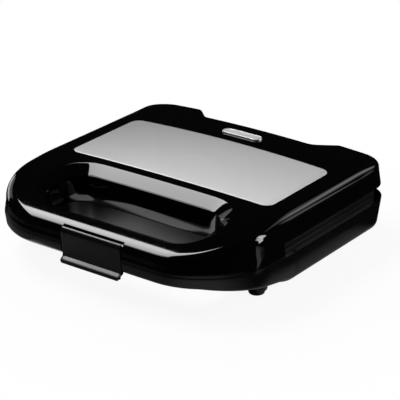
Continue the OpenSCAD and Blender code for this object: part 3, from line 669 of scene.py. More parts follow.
class Groups:
    """Shader node groups that several finishes use. MIDDLE is the span that most of a noise lies in."""

    MIDDLE = (0.3, 0.7)

    @staticmethod
    def _new(name: str, inputs: dict[str, float], outputs: tuple[str, ...]) -> tuple[Wiring, bpy.types.Node]:
        """Start a group whose sockets are all floats.

        Args:
            name: Name of the group.
            inputs: Its inputs and their first values.
            outputs: Its outputs.

        Returns:
            The group's wiring and its input node.
        """
        tree = bpy.data.node_groups.new(name, "ShaderNodeTree")
        for key, value in inputs.items():
            socket = tree.interface.new_socket(key, in_out="INPUT", socket_type="NodeSocketFloat")
            socket.default_value = value
        for key in outputs:
            tree.interface.new_socket(key, in_out="OUTPUT", socket_type="NodeSocketFloat")
        wiring = Wiring(tree)
        return wiring, wiring.add("NodeGroupInput")

    @staticmethod
    def grain() -> bpy.types.NodeTree:
        """Build the fine surface grain once: a height and a roughness that varies a little.

        Returns:
            The group.
        """
        name = "surface_grain"
        if name in bpy.data.node_groups:
            return bpy.data.node_groups[name]
        inputs = {"Scale": 900.0, "Low": 0.1, "High": 0.2, "Patch Scale": 14.0}
        wiring, given = Groups._new(name, inputs, ("Roughness", "Height"))
        place = wiring.place()
        patch = wiring.noise(place, given.outputs["Patch Scale"], 4.0)
        rough = wiring.ramp(patch, *Groups.MIDDLE, given.outputs["Low"], given.outputs["High"], soft=False)
        fine = wiring.noise(place, given.outputs["Scale"], 3.0)
        wiring.add("NodeGroupOutput", {"Roughness": rough, "Height": fine})
        return wiring.tree

    @staticmethod
    def brush() -> bpy.types.NodeTree:
        """Build the brushed lines that run across a sheet once: a tone, a roughness and a height.

        Returns:
            The group.
        """
        name = "brushed_lines"
        if name in bpy.data.node_groups:
            return bpy.data.node_groups[name]
        inputs = {"Line Scale": 1800.0, "Stretch": 0.012, "Low": 0.4, "High": 0.5}
        wiring, given = Groups._new(name, inputs, ("Tone", "Roughness", "Height"))
        axes = wiring.add("ShaderNodeCombineXYZ", {"X": given.outputs["Stretch"], "Y": 1.0, "Z": 1.0})
        place = wiring.vector("MULTIPLY", wiring.place(), axes.outputs["Vector"])
        lines = wiring.noise(place, given.outputs["Line Scale"], 2.0)
        rough = wiring.ramp(lines, *Groups.MIDDLE, given.outputs["Low"], given.outputs["High"], soft=False)
        wiring.add("NodeGroupOutput", {"Tone": lines, "Roughness": rough, "Height": lines})
        return wiring.tree


@dataclass(frozen=True)
class Finish:
    """A moulded, cast or sheet finish with fine grain and slight changes in tone.

    Args:
        name: Name of the material.
        colour: Base colour.
        deep: Second colour that the first drifts towards in soft patches.
        low: Lowest roughness.
        high: Highest roughness.
        metal: Metallic share.
        grain_scale: Scale of the fine grain.
        bump: Strength of the grain's bump.
        bump_mm: Depth of the grain's bump, in millimetres.
        specular: Specular level.
        patch_scale: Scale of the patches in roughness.
        tone_scale: Scale of the patches in tone, as a multiple of patch_scale.
    """

    name: str
    colour: Colour
    deep: Colour
    low: float
    high: float
    metal: float = 0.0
    grain_scale: float = 900.0
    bump: float = 0.02
    bump_mm: float = 0.02
    specular: float = 0.5
    patch_scale: float = 14.0
    tone_scale: float = 1.7

    def material(self) -> bpy.types.Material:
        """Build this finish's material once.

        Returns:
            The material.
        """
        if self.name in bpy.data.materials:
            return bpy.data.materials[self.name]
        made, wiring = Wiring.material(self.name)
        grain = wiring.add("ShaderNodeGroup", {
            "Scale": self.grain_scale, "Low": self.low, "High": self.high, "Patch Scale": self.patch_scale,
        }, node_tree=Groups.grain())
        tone = wiring.noise(wiring.place(), self.patch_scale * self.tone_scale, 5.0)
        wiring.fill(wiring.found("BSDF_PRINCIPLED"), {
            "Base Color": wiring.blend(tone, self.colour, self.deep),
            "Metallic": self.metal,
            "Specular IOR Level": self.specular,
            "Roughness": grain.outputs["Roughness"],
            "Normal": wiring.bump(grain.outputs["Height"], self.bump, self.bump_mm),
        })
        return made


@dataclass(frozen=True)
class BrushedSteel:
    """Satin steel sheet, brushed across the lid, with a painted light gradient: paler towards one corner, and
    a little rougher there.

    Args:
        name: Name of the material.
        pale: Colour of the bright lines, and of the painted light's bright end.
        dark: Colour of the dull lines, and of the painted light's dark end.
        low: Lowest roughness.
        high: Highest roughness.
        metal: Metallic share.
        heavy: Roughness added towards the painted light's bright corner.
        towards: Direction in which the painted light grows brighter and the satin rougher.
        reach: Distance over which it does, in metres.
        line_share: Share of the tone that the lines decide; the painted light gradient decides the rest.
        bump: Strength of the lines' bump.
        bump_mm: Depth of the lines' bump, in millimetres.
    """

    name: str = "satin_steel_sheet"
    pale: Colour = (0.86, 0.86, 0.86)
    dark: Colour = (0.5, 0.5, 0.5)
    low: float = 0.42
    high: float = 0.48
    metal: float = 0.75
    heavy: float = 0.2
    towards: Point = (0.8, -0.6, 0.0)
    reach: float = 0.105
    line_share: float = 0.22
    bump: float = 0.05
    bump_mm: float = 0.01

    def material(self) -> bpy.types.Material:
        """Build this finish's material once.

        Returns:
            The material.
        """
        if self.name in bpy.data.materials:
            return bpy.data.materials[self.name]
        made, wiring = Wiring.material(self.name)
        lines = wiring.add("ShaderNodeGroup", {"Low": self.low, "High": self.high}, node_tree=Groups.brush())
        along = wiring.vector("DOT_PRODUCT", wiring.place(), self.towards, out="Value")
        # painted light: the tone runs from dark to pale towards one corner, as if the lamps fell brighter
        # there
        painted_light_share = wiring.ramp(along, -self.reach, self.reach, 0.0, 1.0, soft=False)
        shade = wiring.maths("MULTIPLY", painted_light_share, 1.0 - self.line_share)
        tone = wiring.maths("MULTIPLY_ADD", lines.outputs["Tone"], self.line_share, shade)
        wiring.fill(wiring.found("BSDF_PRINCIPLED"), {
            "Base Color": wiring.blend(tone, self.dark, self.pale),
            "Metallic": self.metal,
            "Roughness": wiring.maths("MULTIPLY_ADD", painted_light_share, self.heavy, lines.outputs["Roughness"]),
            "Normal": wiring.bump(lines.outputs["Height"], self.bump, self.bump_mm),
        })
        return made


GLOSS_BLACK = Finish("gloss_black_moulding", (0.0011, 0.0011, 0.0012), (0.0015, 0.0015, 0.0016), 0.022, 0.04,
                     grain_scale=260.0, bump=0.01, bump_mm=0.01, specular=0.37)
SATIN_BLACK = Finish("satin_black_moulding", (0.0022, 0.0022, 0.0023), (0.003, 0.003, 0.0032), 0.17, 0.23,
                     grain_scale=2600.0, bump=0.1, bump_mm=0.012)
MATT_BLACK = Finish("matt_black_liner", (0.004, 0.004, 0.0042), (0.0055, 0.0055, 0.0058), 0.26, 0.34,
                    grain_scale=2200.0, bump=0.12, bump_mm=0.015, specular=0.45)
LATCH_BLACK = Finish("latch_black_moulding", (0.003, 0.003, 0.0032), (0.004, 0.004, 0.0042), 0.28, 0.34,
                     grain_scale=2600.0, bump=0.1, bump_mm=0.012)
PLATE_COAT = Finish("non_stick_coating", (0.018, 0.018, 0.0185), (0.024, 0.024, 0.0245), 0.34, 0.46,
                    metal=0.15, grain_scale=3200.0, bump=0.2)
CHROME = Finish("badge_rim_metal", (0.6, 0.6, 0.61), (0.66, 0.66, 0.67), 0.36, 0.42, metal=1.0,
                grain_scale=1200.0, bump_mm=0.01)
BADGE_FIELD = Finish("badge_satin_field", (0.74, 0.74, 0.75), (0.84, 0.84, 0.85), 0.52, 0.6, metal=0.85,
                     grain_scale=2400.0, bump=0.2, patch_scale=300.0)
PLATED_STEEL = Finish("zinc_plated_steel", (0.5, 0.5, 0.51), (0.42, 0.42, 0.44), 0.24, 0.36, metal=1.0,
                      grain_scale=1500.0, bump=0.06, bump_mm=0.01)
SHEATH = Finish("heat_darkened_sheath", (0.22, 0.2, 0.19), (0.13, 0.12, 0.12), 0.4, 0.55, metal=0.9,
                grain_scale=1400.0, bump=0.15)
PAN_SHEET = Finish("bright_pan_sheet", (0.66, 0.66, 0.67), (0.58, 0.58, 0.6), 0.2, 0.34, metal=1.0,
                   grain_scale=1100.0, bump=0.05)
SLEEVE = Finish("woven_wire_sleeve", (0.55, 0.49, 0.4), (0.44, 0.39, 0.31), 0.7, 0.85,
                grain_scale=4200.0, bump=0.6, bump_mm=0.08, specular=0.3)
JACKET = Finish("cable_jacket", (0.012, 0.012, 0.012), (0.018, 0.018, 0.018), 0.4, 0.5,
                grain_scale=1800.0, bump=0.1)
CERAMIC = Finish("unglazed_ceramic", (0.7, 0.66, 0.58), (0.6, 0.56, 0.5), 0.6, 0.75,
                 grain_scale=2600.0, bump=0.25, bump_mm=0.03)
FUSE_CAN = Finish("drawn_fuse_can", (0.62, 0.61, 0.58), (0.5, 0.49, 0.47), 0.22, 0.32, metal=1.0,
                  grain_scale=1500.0, bump=0.05)
TERMINAL_BRASS = Finish("turned_brass", (0.62, 0.46, 0.2), (0.5, 0.37, 0.17), 0.22, 0.32, metal=1.0,
                        grain_scale=1800.0, bump=0.05)
FOOT_RUBBER = Finish("foot_rubber", (0.01, 0.01, 0.01), (0.016, 0.016, 0.016), 0.5, 0.62,
                     grain_scale=2800.0, bump=0.25, bump_mm=0.03, specular=0.35)


def dress(obj: bpy.types.Object, finish: Finish | BrushedSteel, body: Body, slot: Slot,
          *nodes: str) -> bpy.types.Object:
    """Give a new piece its material and body, and hide the construction nodes it replaces.

    Args:
        obj: The piece.
        finish: Its finish.
        body: The body it moves with.
        slot: The record's material slot; not used.
        *nodes: Construction nodes that it replaces.

    Returns:
        The same piece.
    """
    obj.data.materials.clear()
    obj.data.materials.append(finish.material())
    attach(obj, body.value)
    if nodes:
        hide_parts(*nodes)
    return obj


# ---------------------------------------------------------------- the lid


@dataclass
class LidShell:
    """Gloss lid with its shoulder, finger slot, latch recess and side recess, in millimetres and degrees."""

    # wall and shoulder; from thin_start to thin_end the shoulder's radius falls to rear_share of itself
    draft: float = 9.0
    shoulder: float = 9.0
    rear_share: float = 0.44
    thin_start: float = 76.8
    thin_end: float = 112.8
    # where the top's slope is taken, as a share of the radius, and the least radius on the hidden side
    slope_share: float = 0.7
    least_r: float = 0.6
    # rolled rim of the finger slot, its corners as a share of its size, and the inset of the slot's foot
    rim_width: float = 10.0
    rim_depth: float = 7.0
    rim_corner: float = 0.09
    rim_bow: float = 0.25
    slot_lean: float = 0.7
    top_steps: int = 26

    def arc(self, s: Station) -> tuple[float, float, float, float]:
        """Return the shoulder at a station.

        Args:
            s: The station.

        Returns:
            Its radius, the inset of its centre, its end angle and the height of its centre.
        """
        r = self.shoulder * (1 - (1 - self.rear_share) * eased(s.y, self.thin_start, self.thin_end))
        a = math.radians(self.draft)
        d0 = (PLAN.top_z(s.x, s.y) - r - PLAN.parting) * math.tan(a)
        mid = d0 + self.slope_share * r
        slope = (PLAN.top_z(*s.inset(mid + 1)) - PLAN.top_z(*s.inset(mid - 1))) / 2
        end = math.pi / 2 - math.atan(slope)
        dc = d0 + r * math.cos(a)
        z = PLAN.top_z(*s.inset(dc - r * math.cos(end))) - r * math.sin(end)
        return r, dc, end, z

    def arc_place(self, s: Station, u: float, t: float = 0.0) -> Point:
        """Return a place on the shoulder.

        Args:
            s: The station it stands at.
            u: Share of the way from the wall to the top.
            t: Depth inside the surface.

        Returns:
            The place.
        """
        r, dc, end, z = self.arc(s)
        a = math.radians(self.draft)
        a += (end - a) * u
        r = max(self.least_r, r - t)
        x, y = s.inset(dc - r * math.cos(a))
        return x, y, z + r * math.sin(a)

    def foot(self, s: Station) -> float:
        """Return the height of the lid's lower edge at a station."""
        return PLAN.lid_side if s.y > PLAN.side_step else PLAN.parting + PLAN.gap

    def wall_place(self, s: Station, rise: float, t: float = 0.0) -> Point:
        """Return a place on the drafted wall.

        Args:
            s: The station it stands at.
            rise: Height above the lid's lower edge.
            t: Depth inside the surface.

        Returns:
            The place.
        """
        z = self.foot(s) + rise
        x, y = s.inset(t + (z - PLAN.parting) * math.tan(math.radians(self.draft)))
        return x, y, z

    def rim_line(self) -> list[Flat]:
        """Shape the finger slot's rim.

        Returns:
            Offsets from the slot and drops from the top surface, down to the slot's wall.
        """
        w, h, e = self.rim_width, self.rim_depth, self.rim_corner
        line = [(w, 0.06), (w * (1 - e * 0.5), h * e * 0.55), (w * (1 - e), h * e)]
        line += [(w * (1 - t), h * t) for t in (0.3, 0.5, 0.7)]
        line += [(w * e, h * (1 - e)), (w * e * 0.45, h * (1 - e * 0.42)), (w * e * 0.1, h), (0.0, h + 0.5)]
        return [(d, drop - self.rim_bow * math.sin(math.pi * d / w)) for d, drop in line]

    def outside(self, outer: list[Station], slot: list[Station]) -> list[Ring]:
        """Return the rings of the gloss side.

        Args:
            outer: The shell's outline.
            slot: The finger slot's stations, one for each of the outline's.

        Returns:
            The rings, up the wall, over the top and down the slot.
        """
        e = PLAN.edge
        rounding = ((0.0, e), (e * 0.3, e * 0.3), (e, 0.0))
        rings = [[self.wall_place(s, rise, t) for s in outer] for rise, t in rounding]
        for f in (0.33, 0.66):
            rise = [e + f * (self.arc_place(s, 0.0)[2] - self.foot(s) - e) for s in outer]
            rings.append([self.wall_place(s, h) for s, h in zip(outer, rise)])
        rings += [[self.arc_place(s, k / 10) for s in outer] for k in range(11)]
        ends, rims = rings[-1], [q.inset(-self.rim_width - 0.5) for q in slot]
        for k in range(1, self.top_steps + 1):
            rings.append([(x, y, PLAN.top_z(x, y)) for x, y in between(ends, rims, k / self.top_steps)])
        for d, drop in self.rim_line():
            rings.append([(x, y, PLAN.top_z(x, y) - drop) for x, y, _ in level(slot, -d, 0.0)])
        tops, low = rings[-1], PLAN.parting + PLAN.gap
        for f in (0.3, 0.6, 0.96):
            rings.append([(*q.inset(f), z + (low - z) * f) for q, (_, _, z) in zip(slot, tops)])
        return rings + [level(slot, self.slot_lean, low)]

    def inside(self, outer: list[Station], slot: list[Station]) -> list[Ring]:
        """Return the rings of the hidden side.

        Args:
            outer: The shell's outline.
            slot: The finger slot's stations, one for each of the outline's.

        Returns:
            The rings, up round the slot, under the top and down the wall.
        """
        w = PLAN.wall
        rings = [level(slot, -w, PLAN.parting + PLAN.gap),
                 [(*q.inset(-w), PLAN.top_z(q.x, q.y) - self.rim_depth - 1.3) for q in slot]]
        ends = [self.arc_place(s, 1.0, w) for s in outer]
        rims = [q.inset(-self.rim_width - 0.8) for q in slot]
        for u in (0.02, 0.35, 0.7, 1.0):
            rings.append([(x, y, PLAN.top_z(x, y) - w) for x, y in between(rims, ends, u)])
        rings += [[self.arc_place(s, u, w) for s in outer] for u in (0.5, 0.0)]
        return rings + [[self.wall_place(s, 0.0, w) for s in outer]]

    def build(self) -> list[bpy.types.Object]:
        """Model and dress the shell.

        Returns:
            The shell.
        """
        outer = PLAN.outline()
        slot = PLAN.slot_line(outer)
        rings = [PLAN.recessed(ring, False) for ring in self.outside(outer, slot)]
        rings += [PLAN.recessed(ring, True) for ring in self.inside(outer, slot)]
        obj = Maker.skin("lid_shell_gloss", rings, tube=True)
        Maker.smooth(obj, 32)
        return [dress(obj, GLOSS_BLACK, Body.LID, Slot.GLOSS_BLACK, "lid_shell")]


@dataclass
class Inlay:
    """Satin steel sheet that follows the lid's crown, in millimetres."""

    half: float = 100.0
    front: float = -26.2
    rear: float = 62.8
    corner: float = 8.0
    sunk: float = 0.5
    proud: float = 0.2

    def outline(self) -> list[Station]:
        """Lay out the sheet in plan.

        Returns:
            Its outline.
        """
        cx, cy0, cy1 = self.half - self.corner, self.front + self.corner, self.rear - self.corner
        half = [Station(cx * k / 12, self.front, 0.0, -1.0) for k in range(12)]
        half += Plan.bow(cx, cy0, self.corner, -90, 0, 10)
        half += [Station(self.half, cy0 + (cy1 - cy0) * k / 8, 1.0, 0.0) for k in range(1, 8)]
        half += Plan.bow(cx, cy1, self.corner, 0, 90, 10)
        half += [Station(cx * k / 12, self.rear, 0.0, 1.0) for k in range(11, -1, -1)]
        return Plan.mirrored(half)

    def ring(self, d: float, dz: float, scale: float = 1.0) -> Ring:
        """Return a ring of the sheet.

        Args:
            d: Inset.
            dz: Height above the lid's top.
            scale: Size of the ring, as a share of the sheet's.

        Returns:
            The ring.
        """
        cy = (self.front + self.rear) / 2
        flat = [(x * scale, cy + (y - cy) * scale) for x, y, _ in level(self.outline(), d, 0.0)]
        return [(x, y, PLAN.top_z(x, y) + dz) for x, y in flat]

    def build(self) -> list[bpy.types.Object]:
        """Model and dress the sheet.

        Returns:
            The sheet.
        """
        e, low, high = PLAN.edge, -self.sunk, self.proud
        rings = [self.ring(0.3, low, k) for k in (0.1, 0.5, 1.0)]
        side = ((0.0, low + 0.2), (0.0, high - e))
        rounding = ((e * 0.13, high - e * 0.5), (e * 0.5, high - e * 0.13), (e, high))
        rings += [self.ring(d, dz) for d, dz in side + rounding]
        rings += [self.ring(e, high, 1 - k / 20) for k in range(1, 19)] + [self.ring(e, high, 0.03)]
        obj = Maker.skin("lid_inlay_sheet", rings, caps=True)
        Maker.smooth(obj, 40)
        return [dress(obj, BrushedSteel(), Body.LID, Slot.INLAY_STEEL, "lid_inlay")]


@dataclass
class Badge:
    """Blank oval badge with a polished rim round a satin field, in millimetres."""

    length: float = 39.0
    width: float = 9.5
    y: float = 80.2
    low: float = 66.8
    top: float = 68.42
    rim: float = 0.6

    def ring(self, d: float, z: float) -> Ring:
        """Lay out the badge, bent to the lid's crown.

        Args:
            d: Inset.
            z: Height on the centre line.

        Returns:
            The ring.
        """
        r = self.width / 2 - d
        a = (self.length - self.width) / 2
        flat = []
        for side in (1, -1):
            turns = [math.radians(180 * k / 24 - 90 * side) for k in range(25)]
            flat += [(side * a + r * math.cos(t), self.y + r * math.sin(t)) for t in turns]
            flat += [(side * a * (1 - k / 4), self.y + side * r) for k in range(1, 8)]
        return [(x, y, z - PLAN.crown * (x / PLAN.crown_half) ** 2) for x, y in flat]

    def build(self) -> list[bpy.types.Object]:
        """Model and dress the badge.

        Returns:
            The rim and the field.
        """
        w, t = self.rim, self.top
        lip = ((0.0, 0.35), (0.08, 0.12), (0.2, 0.02), (0.32, 0.0), (0.5, 0.04), (w, 0.16))
        rings = [self.ring(0.0, self.low), *(self.ring(d, t - drop) for d, drop in lip)]
        rings.append(self.ring(w, self.low))
        rim = Maker.skin("badge_rim", rings, tube=True)
        rings = [self.ring(w + 0.01, self.low), self.ring(w + 0.01, t - 0.22)]
        rings += [self.ring(w + d, t - 0.2) for d in (0.25, 0.8, 1.6, 2.4, 3.2, 3.8, 4.1)]
        plate = Maker.skin("badge_field", rings, caps=True)
        for obj in (rim, plate):
            Maker.smooth(obj, 40)
        return [dress(rim, CHROME, Body.LID, Slot.BADGE_METAL, "lid_badge"),
                dress(plate, BADGE_FIELD, Body.LID, Slot.BADGE_METAL)]


@dataclass
class Latch:
    """Clip latch over the front edge: a curved plate with a lip, two pivot arms and a hook.

    Sizes are in millimetres.
    """

    half: float = 29.2
    top: float = 48.0
    bottom: float = 18.0
    thick: float = 2.0
    corner: float = 2.6
    proud: float = 0.7
    hollow: float = 1.6
    # rolled top
    roll: float = 4.4
    roll_depth: float = 2.6
    # lip: shares of its height over which it flares and tucks in
    lip: float = 5.2
    lip_proud: float = 2.6
    flare_share: float = 0.56
    flare_bow: float = 0.35
    tuck_share: float = 0.14
    tuck: float = 0.45
    # pivot arms, and the hook's corners; web and hook are measured to the rear from the shells' front
    pivot: Flat = (-116.2, 42.5)
    arm_r: float = 2.6
    arm_insets: Flat = (8.0, 2.0)
    web_front: float = 0.9
    hook_low: Point = (-23.5, 1.3, 21.0)
    hook_high: Point = (23.5, 5.6, 23.4)

    def face(self, z: float) -> float:
        """Return the outer face's position front to rear.

        Args:
            z: Height on the rolled top, the hollow plate or the flared lip.

        Returns:
            The position.
        """
        high, crease = self.top - self.roll, self.bottom + self.lip
        front = PLAN.front - self.proud
        if z > high:
            d = min(1.0, (z - high) / self.roll)
            return front + self.roll_depth * (1 - math.sqrt(1 - d * d))
        plate = front + self.hollow * math.sin(math.pi / 2 * min(1.0, (high - z) / (high - crease)))
        if z >= crease:
            return plate
        u = (crease - z) / self.lip
        flare = min(1.0, u / self.flare_share)
        rise = flare * (1 + self.flare_bow * (1 - flare * flare))
        tuck = max(0.0, (u - 1 + self.tuck_share) / self.tuck_share)
        return plate + (PLAN.front - self.lip_proud - plate) * rise + self.tuck * tuck * tuck

    def rows(self) -> list[float]:
        """Space the plate's rows, closer together on the lip and the roll.

        Returns:
            Their heights, bottom to top.
        """
        high, crease = self.top - self.roll, self.bottom + self.lip
        lip = [self.bottom + self.lip * k / 20 for k in range(20)]
        plate = [crease + (high - crease) * k / 24 for k in range(24)]
        return lip + plate + [high + self.roll * math.sin(math.pi / 2 * k / 10) for k in range(11)]

    def plate(self) -> bpy.types.Object:
        """Model the front plate from a grid, thickened and rounded.

        Returns:
            The plate.
        """
        Maker.pick()
        rows = self.rows()
        last, crowding = len(rows) - 1, 0.7
        bpy.ops.mesh.primitive_grid_add(x_subdivisions=44, y_subdivisions=last, size=1.0, location=(0, 0, 0))
        obj = bpy.context.active_object
        for vert in obj.data.vertices:
            u = vert.co.x * 2
            x = math.copysign(abs(u) ** crowding, u) * self.half
            edge = max(0.0, abs(x) - (self.half - self.corner))
            low = self.bottom + self.corner - math.sqrt(max(0.0, self.corner ** 2 - edge ** 2))
            share = (rows[round((vert.co.y + 0.5) * last)] - self.bottom) / (self.top - self.bottom)
            z = low + (self.top - low) * share
            vert.co = Vector((x * MM, self.face(z) * MM, z * MM))
        Maker.apply(obj, "SOLIDIFY", thickness=self.thick * MM, offset=-1.0)
        Maker.rounded(obj, 0.35, 3, 50)
        return obj

    def arms(self) -> list[bpy.types.Object]:
        """Model the two pivot arms.

        Returns:
            A knuckle and a web for each.
        """
        parts = []
        r, (y, z) = self.arm_r, self.pivot
        for side in (-1, 1):
            x0, x1 = sorted(side * (self.half - d) for d in self.arm_insets)
            profile = [(r - 0.2, x0), (r, x0 + 0.2), (r, x1 - 0.2), (r - 0.2, x1)]
            parts.append(Maker.turned("arm", profile, (0.0, y, z), Axis.X, 32))
            parts.append(Maker.box((x0, PLAN.front + self.web_front, z - 2.4), (x1, y, z + 2.0)))
        return parts

    def build(self) -> list[bpy.types.Object]:
        """Model and dress the latch.

        Returns:
            The latch.
        """
        corners = [(x, PLAN.front + y, z) for x, y, z in (self.hook_low, self.hook_high)]
        hook = Maker.box(*corners)
        Maker.rounded(hook, 0.5, 2)
        obj = Maker.joined("latch_clip", [self.plate(), *self.arms(), hook])
        return [dress(obj, LATCH_BLACK, Body.LATCH, Slot.SATIN_BLACK, "latch")]


# ---------------------------------------------------------------- the base


@dataclass
class BaseShell:
    """Satin base: a band under the lid's front, and the tub behind it, in millimetres."""

    floor: float = 4.0
    band: float = 10.0
    slope: float = 0.197
    level_run: float = 11.0
    edge_r: float = 3.0
    tub_y: float = -40.2
    tub_corner: float = 20.0
    tub_r: float = 7.0
    tub_draft: float = 3.0
    # finger slot: insets of its foot and its head, and of the wall's hidden side
    slot_foot: float = 3.4
    slot_head: float = 0.78
    slot_inner: float = -1.4
    # wells for the housing screws: place and height of the front and the rear one
    band_well: Point = (98.0, -63.7, 22.0)
    tub_well: Point = (86.0, 98.55, 18.0)
    well_r: float = 3.1
    well_hole: float = 1.6
    well_wall: float = 1.5

    def ins(self, z: float) -> float:
        """Return the wall's inset at height z."""
        return self.tub_draft * (PLAN.parting - z) / (PLAN.parting - self.floor - self.tub_r)

    def under(self, y: float) -> float:
        """Return the height of the band's underside."""
        return PLAN.parting - self.band - self.slope * max(0.0, y - PLAN.front - self.level_run)

    def head(self, s: Station) -> float:
        """Return the height of the shell's upper edge at a station."""
        return PLAN.base_side if s.y > PLAN.side_step else PLAN.parting - PLAN.gap

    def at(self, s: Station, z: float, d: float = 0.0) -> Point:
        """Return a place on the shell's wall.

        Args:
            s: The station it stands at.
            z: Its height.
            d: Depth inside the surface.

        Returns:
            The place.
        """
        return (*s.inset(self.ins(z) + d), z)

    def band_outline(self) -> list[Station]:
        """Lay out the band in plan, closed across inside the tub.

        Returns:
            Its outline.
        """
        end = self.tub_y + self.tub_corner
        half = PLAN.front_half() + PLAN.side(PLAN.front + PLAN.front_r, end, 5.0)
        half += [Station(PLAN.half, end, 1.0, 0.0)]
        return Plan.mirrored(half + [Station(PLAN.half * k / 10, end, 0.0, 0.0) for k in range(9, -1, -1)])

    def build_band(self) -> bpy.types.Object:
        """Model the band with the finger slot through it.

        Returns:
            The band.
        """
        outer = self.band_outline()
        slot = PLAN.slot_line(outer)
        e, r, w, top = PLAN.edge, self.edge_r, PLAN.wall, PLAN.parting - PLAN.gap
        rounding = ((0.0, e), (e * 0.3, e * 0.3), (e, 0.0))
        rings = [[self.at(s, self.head(s) - drop, d) for s in outer] for drop, d in rounding]
        rings.append([self.at(s, (self.head(s) + self.under(s.y) + r) / 2) for s in outer])
        for k in range(7):
            rise, d = r * (1 - math.sin(math.pi / 2 * k / 6)), r * (1 - math.cos(math.pi / 2 * k / 6))
            rings.append([self.at(s, self.under(s.y) + rise, d) for s in outer])
        ends, rims = rings[-1], [q.inset(self.slot_foot - 0.5) for q in slot]
        rings += [[(x, y, self.under(y)) for x, y in between(ends, rims, k / 8)] for k in range(1, 9)]
        rings.append([(x, y, self.under(y) + 0.5) for x, y, _ in level(slot, self.slot_foot, 0.0)])
        rings += [level(slot, self.slot_head + 0.02, top - 0.3), level(slot, self.slot_head, top)]
        wall = [self.at(s, self.under(s.y) + r, w) for s in outer]
        inner = [level(slot, self.slot_inner, top),
                 [(*q.inset(self.slot_inner), self.under(q.y) + w) for q in slot],
                 [(x, y, self.under(y) + w) for x, y, _ in wall],
                 wall,
                 [self.at(s, self.head(s), w) for s in outer]]
        rings = [PLAN.recessed(ring, False) for ring in rings] + [PLAN.recessed(ring, True) for ring in inner]
        return Maker.skin("band", rings, tube=True)

    def build_tub(self) -> bpy.types.Object:
        """Model the tub that holds the lower plate's works.

        Returns:
            The tub.
        """
        c, r, w, e = self.tub_corner, self.tub_r, PLAN.wall, PLAN.edge
        half = [Station(x, self.tub_y, 0.0, -1.0) for x in (0.0, 30.0, 60.0, 90.0)]
        half += Plan.bow(PLAN.half - c, self.tub_y + c, c, -90, 0, 14)
        half += PLAN.side(self.tub_y + c, PLAN.rear - PLAN.rear_r, 8.0) + PLAN.rear_half()
        places = []
        for k in range(9):
            a = math.pi / 2 * (1 - k / 8)
            places.append((self.tub_draft + r * (1 - math.cos(a)), self.floor + r * (1 - math.sin(a))))
        top, mid = PLAN.base_side, 20.0
        ins = self.ins(top)
        places += [(self.ins(mid), mid), (self.ins(top - e), top - e)]
        places += [(ins + e * 0.3, top - e * 0.3), (ins + e, top)]
        d = self.tub_draft + w
        places += [(ins + w, top), (d, self.floor + r), (d + r / 2, self.floor + w)]
        line = Plan.mirrored(half)
        return Maker.skin("tub", [level(line, d, z) for d, z in places], caps=True)

    def well(self, shell: bpy.types.Object, x: float, y: float, low: float, top: float) -> bpy.types.Object:
        """Bore a shell for a housing screw and line the bore.

        Args:
            shell: The shell.
            x: Place of the screw across.
            y: Place of the screw front to rear.
            low: Height of the shell's underside there.
            top: Height of the ledge that the screw's head bears on.

        Returns:
            The lining.
        """
        r, hole = self.well_r, self.well_hole
        Maker.cut(shell, Maker.turned("tool", [(r, -5.0), (r, top)], (x, y, 0.0), sides=40))
        outer, foot = r + self.well_wall, low + 1.2
        profile = [(r, foot), (r, top), (hole, top), (hole, top + 0.5), (outer, top + 0.5), (outer, foot)]
        return Maker.turned("well", profile, (x, y, 0.0), sides=40, tube=True)

    def build(self) -> list[bpy.types.Object]:
        """Model, join and dress the base.

        Returns:
            The base.
        """
        band, tub = self.build_band(), self.build_tub()
        parts = [band, tub]
        for side in (-1, 1):
            x, y, top = self.band_well
            parts.append(self.well(band, side * x, y, self.under(y), top))
            x, y, top = self.tub_well
            parts.append(self.well(tub, side * x, y, self.floor, top))
        x, y = PLAN.feet[0]
        collar = [(7.9, 0.0), (8.3, 0.15), (8.5, 0.5), (8.5, 6.0), (8.5, 10.5)]
        parts += [Maker.turned("boss", collar, (side * x, y, self.floor)) for side in (-1, 1)]
        pad = [(8.2, 0.0), (8.7, -0.2), (9.0, -0.8), (8.6, -6.2)]
        parts.append(Maker.turned("pad", pad, PLAN.inlet, Axis.Y))
        obj = Maker.joined("base_shell_satin", parts, 32)
        return [dress(obj, SATIN_BLACK, Body.BASE, Slot.SATIN_BLACK, "base_shell")]


@dataclass
class Feet:
    """Four rubber feet with rounded treads and a shallow dish, in millimetres."""

    radius: float = 6.5
    height: float = 4.0

    def build(self) -> list[bpy.types.Object]:
        """Model one foot, copy it to the four places and dress it.

        Returns:
            The four feet, joined.
        """
        r, h = self.radius, self.height
        profile = [(2.6, 0.5), (3.0, 0.12), (3.4, 0.0), (r - 1.5, 0.0), (r - 0.9, 0.12), (r - 0.45, 0.42),
                   (r - 0.12, 0.9), (r, 1.5), (r, h - 0.3), (r - 0.3, h), (3.0, h), (3.0, h + 3.0)]
        (x0, y0), *others = [(side * x, y) for x, y in PLAN.feet for side in (1, -1)]
        first = Maker.turned("foot", profile, (x0, y0, 0.0))
        rest = [Maker.copied(first, x - x0, y - y0) for x, y in others]
        obj = Maker.joined("rubber_feet_turned", [first, *rest])
        return [dress(obj, FOOT_RUBBER, Body.BASE, Slot.FOOT_RUBBER, "rubber_feet")]


